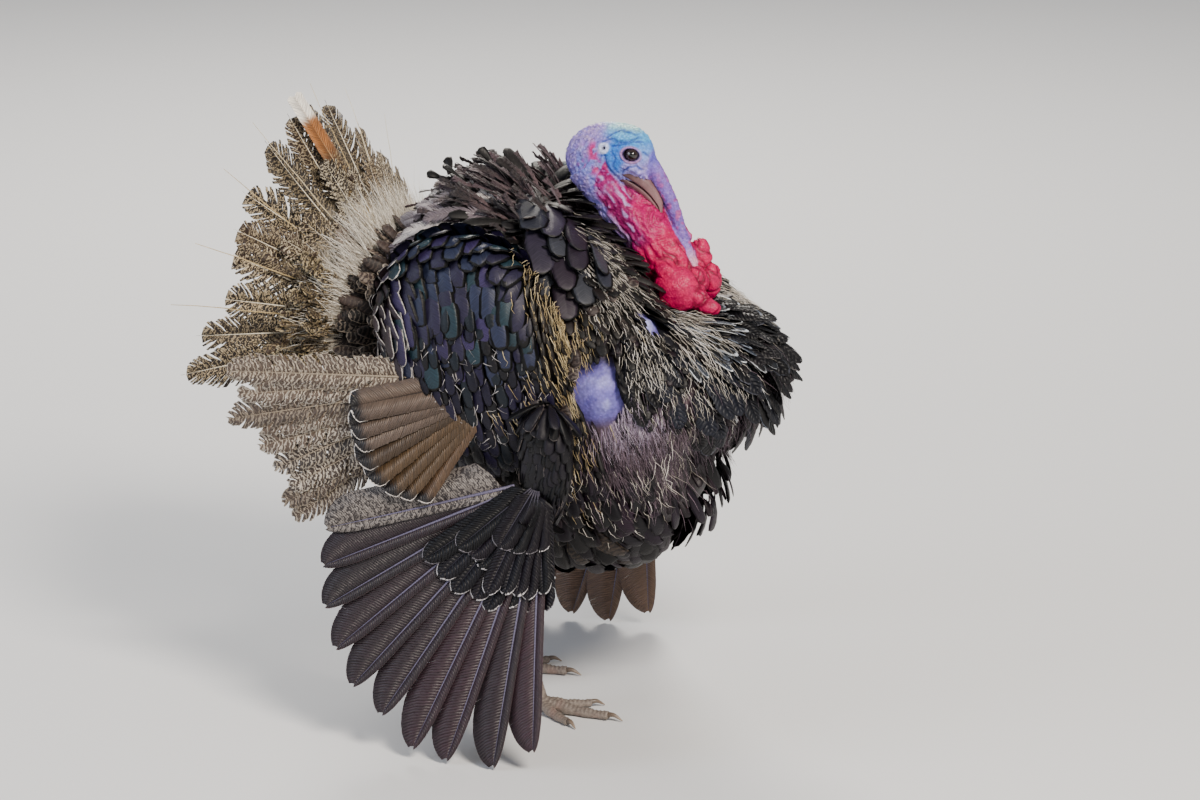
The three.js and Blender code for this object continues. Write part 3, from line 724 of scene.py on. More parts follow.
# %% Trunk and leg nets
BULGE = unit(np.array([0.42, -0.90, 0.09]))
BLUE_PATCH = unit(np.array([0.63, -0.60, 0.49]))
DOWNY = unit(np.array([0.66, -0.66, -0.24]))
STEP_BACK = {-1: 0.0, 1: 96.0}  # the left foot trails
HOCK = np.array([-38.0, 66, 172])
ANKLE = np.array([-4.0, 60, 24])
WRISTS = {-1: np.array([52.0, -190, 297]), 1: np.array([26.0, 190, 290])}
TOES = {  # heading in degrees, length, radius and claw's length
    "middle": (4, 84, 7.4, 17),
    "inner": (-32, 60, 6.6, 15),
    "outer": (38, 64, 6.6, 15),
    "hind": (-160, 30, 5.6, 14),
}


def coat_depth(heading):
    """Depth of the coat in mm: thick all over, thin at the bare bulges and on the downy lower breast."""
    seen = near_side(heading)
    bulge = np.maximum(np.exp((seen @ BULGE - 1) / 0.013), np.exp((seen @ BLUE_PATCH - 1) / 0.0035))
    downy = np.exp((seen @ DOWNY - 1) / 0.05)
    return 24 - 21 * bulge - 15 * downy * (1 - bulge)


def leg_joints(side):
    """Hock and ankle of one leg; the hock goes 0.6 of the way back that its foot does."""
    flip = np.array([1, side, 1])
    return HOCK * flip - [0.6 * STEP_BACK[side], 0, 0], ANKLE * flip - [STEP_BACK[side], 0, 0]


def out_from_foot(toe, side, far, up):
    """The place `far` mm out along a toe from the shank's foot, and `up` mm above the floor."""
    turn = math.radians(TOES[toe][0]) * side
    start = leg_joints(side)[1]
    return [start[0] + math.cos(turn) * far, start[1] + math.sin(turn) * far, up]


def toe_route(toe, side):
    _, length, radius, _ = TOES[toe]
    low = radius * 0.62
    high = 20 if toe == "hind" else 13
    places = [(0, high), (length * 0.4, low + 2.4), (length * 0.7, low), (length, low)]
    return [out_from_foot(toe, side, far, up) for far, up in places]


def leg_shells(side):
    """The shank, thicker at hock and foot, and the toes, flat where they would go below the floor."""
    hock, ankle = leg_joints(side)
    route = [hock + [-2, 0, 6], hock, (hock + ankle) / 2 - [3, 0, 0], ankle, ankle + [2, 0, -12]]
    girth = 8.0 + 3.5 * np.abs(np.linspace(-1, 1, 9)) ** 3
    shells = [tube(route, girth * 0.84, girth * 1.02, 50, 24)]
    for toe in TOES:
        t = np.linspace(0, 1, 25)
        girth = (TOES[toe][2] - 0.3) * (1 - 0.28 * t) * (1 + 0.1 * np.cos(t * 6 * math.pi))
        shell = tube(toe_route(toe, side), girth, girth, 40, 20)
        shell[..., 2] = np.maximum(shell[..., 2], 0.25)
        shells.append(shell)
    return shells


def thigh_route(side):
    return [[6, 68 * side, 236], [-14, 68 * side, 196], leg_joints(side)[0]]


wide = ball_headings(40, 60)
body_shells = [trunk(wide, coat_depth(wide)), rump(wide, 22.0)]
for side, wrist in WRISTS.items():
    forearm = [[10, 150 * side, 400], wrist + [0, -8 * side, 50], wrist]
    body_shells.append(shield(side)(wide, 16.0))
    body_shells.append(tube(thigh_route(side), [40, 26, 9], [40, 26, 9], 16, 20))
    body_shells.append(tube(forearm, [20, 12, 6], [20, 14, 8], 16, 16))
body, body_quads = wrapped(body_shells, 7.5)
body = relaxed(body, body_quads, 2)
legs, leg_quads = wrapped([s for side in SIDES.values() for s in leg_shells(side)], 1.6)
legs = relaxed(legs, leg_quads, 2)
print("trunk net", len(body_quads), "leg net", len(leg_quads), "squares")

# %% Scales of the shanks and toes
foot_side = np.sign(legs[:, 1])
from_foot = near_side(legs) * [1, -1, 1]
from_foot[:, 0] += np.where(foot_side > 0, STEP_BACK[1], 0) * smooth(400, 24, legs[:, 2])
outwards = net_normals(legs, leg_quads)
on_shin = smooth(26, 40, legs[:, 2])
front = smooth(-0.2, 0.35, outwards[:, 0])
scutes = crease(from_foot[:, 2] / 6.2 + 0.3 * from_foot[:, 1] / 9)
net_scales = crease(from_foot[:, 2] / 3.4) * 0.5 + 0.5 * noise(legs, 2.6, 21)
reach_of_toe = np.hypot(from_foot[:, 0] - ANKLE[0], from_foot[:, 1] - ANKLE[1])
toe_top = smooth(0.1, 0.6, outwards[:, 2])
leg_relief = on_shin * (0.55 * front * scutes + 0.3 * (1 - front) * net_scales)
pads = 0.3 * (1 - toe_top) * noise(legs, 2.2, 22)
leg_relief += (1 - on_shin) * (0.5 * toe_top * crease(reach_of_toe / 4.6) + pads)
print("scales from", round(leg_relief.min(), 2), "to", round(leg_relief.max(), 2), "mm")
legs = legs + outwards * leg_relief[:, None]
legs[:, 2] = np.maximum(legs[:, 2], 0.0)
leg_tint = np.tile(paint("#857a72"), (len(legs), 1))
leg_tint = layered(leg_tint, [
    # painted shade darkens the grooves between the scales, and painted light brightens the raised scales
    ("#574e49", 0.7 * smooth(0.1, -0.5, leg_relief)),
    ("#a89e95", 0.4 * smooth(0.2, 0.5, leg_relief)),
    ("#8f6e66", 0.35 * smooth(0, 0.7, noise(legs, 11, 23))),
])

body_heading = unit(body - TRUNK_CENTRE)
seen_side = near_side(body_heading)
near_bulge = np.maximum(
    np.exp((seen_side @ BULGE - 1) / 0.016), np.exp((seen_side @ BLUE_PATCH - 1) / 0.004))
downy = np.exp((seen_side @ DOWNY - 1) / 0.07)
veins = crease(noise(body, 11, 28) * 2.2) * smooth(0.3, 0.8, near_bulge)
body_tint = np.tile(paint("#2b2427"), (len(body), 1))
body_tint = layered(body_tint, [
    ("#6d5a66", smooth(0.15, 0.6, downy)),
    ("#6c64b4", smooth(0.1, 0.45, near_bulge)),
    # painted highlights: lighter blue patches laid by noise over the bare bulge
    ("#a3a6e2", 0.8 * smooth(-0.2, 0.6, noise(body, 16, 27)) * smooth(0.4, 1, near_bulge)),
    ("#463f94", 0.6 * veins),
])

# %% [markdown]
# ### Finishes of the skin
# Bare turkey skin is thin, slightly moist and pebbled, and light scatters inside it a little. The scales
# on the shanks are dull keratin, like horn that has been walked on.


# %% Skin finishes
def skin_finish(name, pebble_mm, depth_mm, roughness, scatter):
    """Colour from the skin's own tint, with pebbles `pebble_mm` across: painted light on their tops and
    painted shade in the fine lines between them.
    """
    material, tree = new_material(name)
    place = node(tree, "TexCoord").outputs["Object"]
    tint_in = node(tree, "Attribute", attribute_name="tint")
    pebbles = node(tree, "TexVoronoi", {"Vector": place, "Scale": 1000 / pebble_mm}, feature="SMOOTH_F1")
    grain = node(tree, "TexNoise", {"Vector": place, "Scale": 1000 / (pebble_mm * 2.5), "Detail": 4.0})
    # painted light and shade: raised pebble centres lightened to 1.12, the sunken lines between them darkened
    # to 0.72
    shade = node(tree, "MapRange", {0: pebbles, 1: 0.15, 2: 0.75, 3: 1.12, 4: 0.72})
    dark = node(tree, "Mix", {0: 1.0, 6: tint_in, 7: shade}, **TINT)
    blotch = node(tree, "MapRange", {0: grain, 1: 0.3, 2: 0.7, 3: 0.86, 4: 1.16})
    height = node(tree, "Math", {0: pebbles, 1: -1.0, 2: grain}, **TIMES_PLUS)
    surface = {
        "Base Color": node(tree, "Mix", {0: 1.0, 6: dark, 7: blotch}, **TINT),
        "Roughness": roughness,
        "Normal": node(tree, "Bump", {"Height": height, "Strength": 1.0, "Distance": depth_mm / 1000}),
        "Subsurface Weight": scatter,
        "Subsurface Radius": (0.004, 0.0016, 0.0012),
        "IOR": 1.4,
    }
    node(tree, "OutputMaterial", {"Surface": node(tree, "BsdfPrincipled", surface)})
    return material


head_skin = skin_finish("bare_turkey_skin", 1.9, 0.6, 0.44, 0.06)  # thin, moist, pebbled
trunk_skin = skin_finish("plucked_breast_skin", 3.0, 0.5, 0.5, 0.1)  # softer, with feather pits
leg_skin = skin_finish("shank_scale_keratin", 1.6, 0.25, 0.55, 0.0)  # dull horny scales

# %% The skin, one piece
nets = [(bare, bare_quads, tint), (body, body_quads, body_tint), (legs, leg_quads, leg_tint)]
starts = np.cumsum([0, len(bare), len(body)])
skin_quads = np.vstack([quads + start for (_, quads, _), start in zip(nets, starts)])
skin_mesh = bpy.data.meshes.new("skin")
skin_mesh.from_pydata(to_row(np.vstack([points for points, _, _ in nets])), [], skin_quads.tolist())
skin_tint = skin_mesh.attributes.new("tint", "FLOAT_COLOR", "POINT")
skin_tint.data.foreach_set("color", np.vstack([tints for _, _, tints in nets]).ravel())
FLESH = ["head", "neck", "snood", "wattle", "belly", "breast", "back", "rump"]
FLESH += [
    f"{part}_{side}" for side in SIDES for part in ("thigh", "shank", *(f"toe_{toe}" for toe in TOES))]
finish_piece("skin", skin_mesh, [head_skin, trunk_skin, leg_skin], FLESH)
finish_of_face = np.repeat([0, 1, 2], [len(quads) for _, quads, _ in nets])
skin_mesh.polygons.foreach_set("material_index", finish_of_face.astype(np.int32))
print("skin", 2 * len(skin_quads), "triangles")

# %% [markdown]
# ## Eyes and bill
# The eyeball is a nearly full globe with a dark brown iris under a clear, wet cornea. The bill is horn
# over two thin bones: a hooked upper half that closes over the lower one.


# %% Eyes
def eye_finish():
    """Cornea over a brown iris: the colours run in rings round the globe's outward axis."""
    material, tree = new_material("eyeball_under_cornea")
    ring = node(tree, "Attribute", attribute_name="ring").outputs["Fac"]
    place = node(tree, "TexCoord").outputs["Object"]
    fibre = node(tree, "TexNoise", {"Vector": place, "Scale": 1400.0, "Detail": 3.0})
    dim = node(tree, "MapRange", {0: fibre, 3: 0.7, 4: 1.25})
    ramp = node(tree, "ValToRGB", {0: ring})
    first, last = ramp.color_ramp.elements
    first.color = paint("#040303")
    last.position = 0.99
    last.color = paint("#2a2126")
    for at, colour in ((0.42, "#060405"), (0.48, "#20120f"), (0.76, "#2a1814"), (0.83, "#0c0809")):
        ramp.color_ramp.elements.new(at).color = paint(colour)
    surface = {
        "Base Color": node(tree, "Mix", {0: 0.8, 6: ramp, 7: dim}, **TINT),
        "Roughness": 0.08,
        "IOR": 1.376,
        "Coat Weight": 1.0,
        "Coat Roughness": 0.02,
    }
    node(tree, "OutputMaterial", {"Surface": node(tree, "BsdfPrincipled", surface)})
    return material


EYE_RADIUS = 7.3
RING_REACH = 0.95  # radians from the eye's axis to the edge of the ramp
eye_material = eye_finish()
for name, side in SIDES.items():
    heading = ball_headings(36, 48)
    towards = heading @ unit(np.array([0.32, side, 0.12]))
    swell = EYE_RADIUS + 0.55 * np.exp((towards - 1) / 0.05)
    globe = EYE * [1, side, 1] - [0, side * 0.6, 0] + heading * swell[..., None]
    eye = plain_piece("eyeball_" + name, [globe], eye_material, ["eye_" + name])
    point_values(eye, "ring", np.arccos(np.clip(towards, -1, 1)) / RING_REACH)

# %% Bill
BILL_ROOT = np.array([78.0, 0, 582])
BILL_TIP = np.array([116.0, 0, 544])
BILL_UP = np.array([0.62, 0, 0.79])


def bill_half(steps, lifts, half_wide, above, below):
    """A tapered tube along the bill line raised by `lifts`: its widths fall with the root of 1 - 0.97 t.
    It reaches `above` and `below` its widest line, where the two halves meet."""
    t = np.linspace(-0.22, 1, steps)
    middle = BILL_ROOT + (BILL_TIP - BILL_ROOT) * t[:, None] + lifts(t)[:, None] * BILL_UP
    turn = TAU * np.arange(28) / 28
    taper = np.sqrt(np.clip(1 - 0.97 * np.maximum(t, 0), 0.004, 1))[:, None]
    flare = (1 + 0.5 * smooth(0.7, 0.1, t))[:, None]
    wide = half_wide * taper * flare * np.sign(np.cos(turn)) * np.abs(np.cos(turn)) ** 0.85
    deep = taper * np.sin(turn) * np.where(np.sin(turn) < 0, below, above)
    return middle[:, None] + wide[..., None] * [0, 1, 0] + deep[..., None] * BILL_UP


def arch(t):
    return 20 * t * (1 - t)


upper_bill = bill_half(40, lambda t: arch(t) + 1.0 * (1 - t) - 2.4 * smooth(0.86, 1, t), 10.6, 12.8, 3.0)
lower_bill = bill_half(34, lambda t: 0.9 * arch(t) - 2.6 * (1 - t) - 1.8, 9.8, 2.2, 9.0)
lower_bill = BILL_ROOT + (lower_bill - BILL_ROOT) * 0.93


def horn_finish(name, light, dark, across_mm):
    """Horn laid down in layers: pale, darker at its root, with fine growth lines and worn, waxy gloss."""
    material, tree = new_material(name)
    place = node(tree, "TexCoord").outputs["Object"]
    along = node(tree, "Attribute", attribute_name="from_root").outputs["Fac"]
    lines = node(tree, "TexNoise", {"Vector": place, "Scale": 1000 / across_mm, "Detail": 5.0})
    cloud = node(tree, "TexNoise", {"Vector": place, "Scale": 160.0, "Detail": 3.0})
    share = node(tree, "Math", {0: cloud, 1: 0.5, 2: along}, **TIMES_PLUS)
    paler = node(tree, "MapRange", {0: share, 1: 0.3, 2: 1.1})
    base = node(tree, "Mix", {0: paler, 6: paint(dark), 7: paint(light)}, **MIX)
    shade = node(tree, "MapRange", {0: lines, 1: 0.3, 2: 0.7, 3: 0.8, 4: 1.1})
    surface = {
        "Base Color": node(tree, "Mix", {0: 1.0, 6: base, 7: shade}, **TINT),
        "Roughness": 0.4,
        "Normal": node(tree, "Bump", {"Height": lines, "Strength": 0.5, "Distance": 0.0003}),
        "IOR": 1.55,
    }
    node(tree, "OutputMaterial", {"Surface": node(tree, "BsdfPrincipled", surface)})
    return material


bill_horn = horn_finish("bill_horn_keratin", "#8a6668", "#3a2026", 1.1)  # layered, with growth lines
claw_horn = horn_finish("claw_horn_keratin", "#8c7a6a", "#2e2522", 1.4)  # scuffed by walking


def horn_piece(name, shells, material, stands_for):
    """Horn whose points know how far along it they are, because it is darker at its root."""
    made = plain_piece(name, shells, material, stands_for)
    grown = [np.repeat(np.linspace(0, 1, shell.shape[0]), shell.shape[1]) for shell in shells]
    point_values(made, "from_root", np.concatenate(grown))


horn_piece("bill", [upper_bill, lower_bill], bill_horn, ["bill_upper", "bill_lower"])


# %% Claws and spurs
def claw_shell(toe, side):
    """A curved cone that drops from the toe's end to the floor."""
    _, length, radius, far = TOES[toe]
    low = radius * 0.62
    places = [(length - 4, low + 0.4), (length + far * 0.35, low + 1.6), (length + far * 0.95, 0.9)]
    route = [out_from_foot(toe, side, out, up) for out, up in places]
    return tube(route, [3.4, 2.8, 1.9, 0.5], [3.0, 2.6, 1.8, 0.5], 14, 14)


SPUR_HEIGHT = 82
for name, side in SIDES.items():
    horn_piece(
        "claws_" + name, [claw_shell(toe, side) for toe in TOES], claw_horn,
        [f"claw_{toe}_{name}" for toe in TOES])
    hock, ankle = leg_joints(side)
    up_shank = (SPUR_HEIGHT - ankle[2]) / (hock[2] - ankle[2])
    root = np.array([ankle[0] + (hock[0] - ankle[0]) * up_shank - 4, hock[1] - side * 2, SPUR_HEIGHT])
    route = [root, root + [-14, -4 * side, -1], root + [-30, -9 * side, 5]]
    spur = tube(route, [6, 4.6, 0.8], [6, 4.6, 0.8], 16, 16)
    horn_piece("spur_horn_" + name, [spur], claw_horn, ["spur_" + name])

# %% [markdown]
# ## Feathers as meshes
# Every feather starts flat: x runs across it, y along its shaft, z out of its face, in millimetres. Small
# body feathers are thin closed vanes. Large ones are a tapering shaft with rows of flat strips on both
# sides, each strip a clump of barbs, so that their edges fray and split. Down and hair-like feathers are
# single thin wisps. Then each is laid on the bird: its root on the skin, lifted by an angle, bent along
# its length and rolled about its shaft.

# %% Vanes
# A ring is the cross-section of a vane. Outlines are pairs: share along the feather, share of its half width.
RING = np.array([[-1, 0], [-0.55, 1], [0.55, 1], [1, 0], [0.55, -1], [-0.55, -1]], float)
ROUNDED = np.array(
    [[0, 0.16], [0.22, 0.7], [0.5, 0.98], [0.74, 1.0], [0.9, 0.78], [0.97, 0.5], [1.0, 0.16]])
POINTED = np.array([[0, 0.4], [0.3, 0.95], [0.6, 1.0], [0.85, 0.85], [1.0, 0.3]])


def ring_quads(rings, sides):
    """Four-sided faces of a closed tube of 4 or 6 sides: its wall, and its end rings filled."""
    wall = tube_faces(rings, sides)[:-2]
    last = (rings - 1) * sides
    ends = [[3, 2, 1, 0], [last, last + 1, last + 2, last + 3]]
    if sides == 6:
        ends += [[0, 5, 4, 3], [last + 3, last + 4, last + 5, last]]
    return np.array(wall + ends)


def for_each(value, count):
    return np.broadcast_to(np.asarray(value, float), (count,))


def vanes(length, width, outline, ragged, camber=0.12, thick=0.5, striped=False):
    """Closed thin vanes. Half width is width/2 times the outline at share v; the face is arched by camber.

    The fringe runs round the whole edge, or only along both sides where `striped`.
    """
    n = len(length)
    v, w = outline[:, 0], outline[:, 1]
    u, face = RING[:, 0], RING[:, 1]
    size, v = length[:, None, None], v[:, None]
    jag = 1 + ragged * rng.normal(0, 1, (n, len(v), 6)) * (np.abs(u) > 0.9)
    half = width[:, None, None] / 2 * w[:, None] * jag
    x = half * u
    y = size * (v + 0 * u) + 0.3 * np.abs(x) * (v < 0.95)
    z = thick / 2 * face * (1 - 0.5 * v) + camber * half * (1 - u**2) * 2
    points = np.stack([x, y, z], -1).reshape(n, -1, 3)
    to_side = half * (1 - np.abs(u))
    to_tip = size * (1 - v) + 0 * u
    rim = (to_side if striped else np.minimum(to_side, to_tip)).reshape(n, -1)
    return {"points": points, "quads": ring_quads(len(v), 6), "rim": rim, "length": length}


def wisps(length, thick, rings=4, curl=0.15, crimp=0.0, jitter=0.04):
    """Hair-like feathers: a thin flattened tube that tapers to its tip, strays sideways as the square of v
    and swings by `crimp` of its length in two and a half waves."""
    n = len(length)
    size = length[:, None, None]
    v = np.linspace(0, 1, rings)[:, None]
    ring = np.array([[-1, 0], [0, 0.6], [1, 0], [0, -0.6]])
    half = thick[:, None, None] / 2 * (1 - 0.75 * v)
    stray = curl * rng.normal(0, 1, (n, 1, 1)) * size * v**2 + crimp * size * np.sin(5 * math.pi * v)
    stray, rise = (
        start + jitter * size * rng.normal(0, 1, (n, rings, 1)) * (v > 0.2) for start in (stray, 0))
    x = half * ring[:, 0] + stray
    y = size * v + 0 * x
    z = half * ring[:, 1] + rise
    points = np.stack([x, y, z], -1).reshape(n, -1, 3)
    rim = (size * (1 - v) + 0 * x).reshape(n, -1)
    return {"points": points, "quads": ring_quads(rings, 4), "rim": rim, "length": length}


# %% Feathers with separate barbs
def blunt(v, shoulder=0.12, tip=0.86):
    """Outline of a long feather: widens quickly from the quill and rounds off past `tip`."""
    rise = np.clip(v / shoulder, 0, 1) ** 0.6
    fall = np.sqrt(np.clip(1 - np.clip((v - tip) / (1 - tip), 0, 1) ** 2, 0, 1))
    return rise * fall


def barbed(
        length, left, right, clumps, outline=blunt, sweep=0.9, bare=0.06, rag=0.05, split=0.012, wear=0.0,
        pinch=0.12, thick=0.3, shaft=1.0, camber=0.0, overlap=1.1):
    """A shaft and, on each side, strips between the curves that leave it at shares v - h and v + h.

    From v on the shaft a curve ends on the outline at v + (1 - v)(1 - exp(-sweep w / (L (1 - v)))).
    Groups of strips drift together by `split`, single ones end short by `rag`, and a share `wear` are broken.
    `pinch` narrows each strip's end, and `camber` sinks the edges by that share of x squared over w.
    """
    n, steps = len(length), 3
    size = length[:, None, None, None]
    parts, quads, rims, shades, base = [], [], [], [], 0
    t = np.linspace(0, 1, steps)[None, None, :, None]
    v = bare + (0.985 - bare) * (np.arange(clumps) + 0.5) / clumps
    half_gap = 0.5 * (v[1] - v[0]) * overlap
    edge = np.clip(v[:, None] + half_gap * np.array([-1, 1]), 0, 0.992)[None, :, None, :]
    for side, width in ((-1, left), (1, right)):
        wide = for_each(width, n)[:, None, None, None]
        group = rng.normal(0, split, (n, clumps // 4 + 1)).repeat(4, 1)[:, :clumps, None, None]
        short = 1 + rag * rng.normal(0, 1, (n, clumps, 1, 1))
        broken = (rng.random((n, clumps, 1, 1)) < wear) * rng.uniform(0.3, 0.85, (n, clumps, 1, 1))
        end = edge + (1 - edge) * (1 - np.exp(-sweep * wide / (size * (1 - edge))))
        end = np.clip(end + group, 0, 1.0)
        reach = wide * outline(np.clip(end, 0, 0.998)) * short * (1 - broken)
        x = reach * (t + 0.25 * t * (1 - t))
        y = size * (edge + (end - edge) * (1 - broken) * (t - 0.25 * t * (1 - t)))
        middle = np.stack([x.mean(-1), y.mean(-1)], -1)
        x, y = (c + (middle[..., k : k + 1] - c) * pinch * t**4 for k, c in enumerate((x, y)))
        tier = thick * 0.5 * np.array([-1, 1]) - camber * x**2 / wide
        top, low = (np.stack([x, y, tier + z], -1) for z in (thick / 2, -thick / 2))
        ring = np.stack([top[..., 0, :], top[..., 1, :], low[..., 1, :], low[..., 0, :]], -2)
        parts.append((ring * [side, 1, 1]).reshape(n, -1, 3))
        one = ring_quads(steps, 4)[:, :: -side]
        quads.append((one[None] + (4 * steps * np.arange(clumps))[:, None, None] + base).reshape(-1, 4))
        away = (reach.mean(-1, keepdims=True) * (1 - t))[..., 0]
        rims.append(np.repeat(np.minimum(away, 30)[..., None], 4, -1).reshape(n, -1))
        shade = rng.uniform(0.9, 1.08, (n, clumps, 1, 1))
        shades.append(np.broadcast_to(shade, (n, clumps, steps, 4)).reshape(n, -1))
        base += clumps * steps * 4
    v = np.linspace(0, 0.975, 7)[:, None, None]
    ring = np.array([[-1, 0, 0], [0, 0, 1.2], [1, 0, 0], [0, 0, -1.0]])
    quill = shaft * (1 - 0.86 * v) * ring + size * v * [0, 1, 0]
    parts.append(quill.reshape(n, -1, 3))
    quads.append(ring_quads(7, 4) + base)
    rims.append(np.full((n, 28), -1.0))
    shades.append(np.ones((n, 28)))
    return {
        "points": np.concatenate(parts, 1),
        "quads": np.vstack(quads),
        "rim": np.concatenate(rims, 1),
        "shade": np.concatenate(shades, 1),
        "shaft_from": base,
        "length": length,
    }


# %% Laying feathers on the bird
def lay(batch, root, along, out, lift, bend, roll=0.0, sway=0.0):
    """Carries flat feathers to their places.

    The shaft leaves the root along the skin, raised by `lift`, and turns by `bend` over its length. `roll`
    turns the vanes about the shaft, and `sway` bows it sideways by that share of its length.
    """
    local = batch["points"]
    n = len(local)
    lift, bend, roll, sway = (for_each(value, n)[:, None] for value in (lift, bend, roll, sway))
    share = local[..., 1] / batch["length"][:, None]
    angle = lift + bend * share
    mean = lift + bend * share / 2
    side = np.cross(along, out)
    x = local[..., 0] * np.cos(roll) - local[..., 2] * np.sin(roll)
    z = local[..., 0] * np.sin(roll) + local[..., 2] * np.cos(roll)
    x = x + sway * share * np.abs(share) * batch["length"][:, None]
    forward = local[..., 1] * np.cos(mean) - np.sin(angle) * z
    upward = local[..., 1] * np.sin(mean) + np.cos(angle) * z
    world = root[:, None] + forward[..., None] * along[:, None] + upward[..., None] * out[:, None]
    world = world + x[..., None] * side[:, None]
    place = unit(root - TRUNK_CENTRE)
    east, north = np.arctan2(place[:, 1], place[:, 0]) / TAU * 0.98, np.arcsin(place[:, 2]) / 3.3
    atlas = 0.5 + np.stack([east, north], 1)
    within = np.stack([local[..., 0] / (np.abs(local[..., 0]).max() + 1), share - 0.5], -1)
    return batch | {
        "points": world,
        "vane": local[..., :2] / 100,
        "patch": atlas[:, None] + 0.003 * within,
    }


def mixed(count, *codes, spread_of=0.12):
    """A colour for each feather, picked from a few and made a little lighter or darker."""
    table = np.array([paint(code) for code in codes])
    picked = table[rng.integers(0, len(codes), count)]
    picked[:, :3] *= rng.uniform(1 - spread_of, 1 + spread_of, (count, 1))
    return picked


def chosen(colours, count):
    """A hex code is one colour for all, a tuple of codes is drawn from, and an array stays as it is."""
    if isinstance(colours, str):
        return paint(colours)
    return mixed(count, *colours) if isinstance(colours, tuple) else colours


def share_along(batch):
    """Share of the feather's length at each of its points."""
    return batch["vane"][..., 1] * 100 / batch["length"][:, None]


def coloured(
        batch, ground, fringe, bars=0.0, fringe_mm=0.0, shaft=None, under=None, root=None, root_share=0.35):
    """Gives each feather its colours: ground, fringe and bars, and the width of its fringe.

    The ground fades from `root` near the skin, the undersides of strips are tinted `under`, and the shaft
    has a colour of its own.
    """
    n, size = batch["points"].shape[:2]
    base, edge = (
        np.array(np.broadcast_to(np.reshape(chosen(colours, n), (-1, 1, 4)), (n, size, 4)))
        for colours in (ground, fringe)
    )
    bar = np.array(np.broadcast_to(for_each(bars, n)[:, None], (n, size)))
    if root is not None:
        fade = smooth(root_share * 1.4, root_share * 0.6, share_along(batch))
        base += (paint(root) - base) * fade[..., None]
        bar *= 1 - 0.8 * fade
    if "shade" in batch:
        base[..., :3] *= batch["shade"][..., None]
        if under is not None:
            for corner in (2, 3):
                base[:, corner : batch["shaft_from"] : 4] = paint(under)
        if shaft is not None:
            base[:, batch["shaft_from"] :] = paint(shaft)
            bar[:, batch["shaft_from"] :] = 0
    base[..., 3] = bar
    edge[..., 3] = for_each(fringe_mm, n)[:, None] / 10
    return batch | {"ground": base, "fringe": edge}


# %% [markdown]
# ### Finishes of the feathers
# Feather keratin is dull across its barbs and shines along them, and in a tom's dark feathers thin layers
# under the surface add a bronze or blue-green gloss. One finish, with different gloss, draws the bars,
# the fringe and the streaks between barbs from the feather's own map, which is in real millimetres.


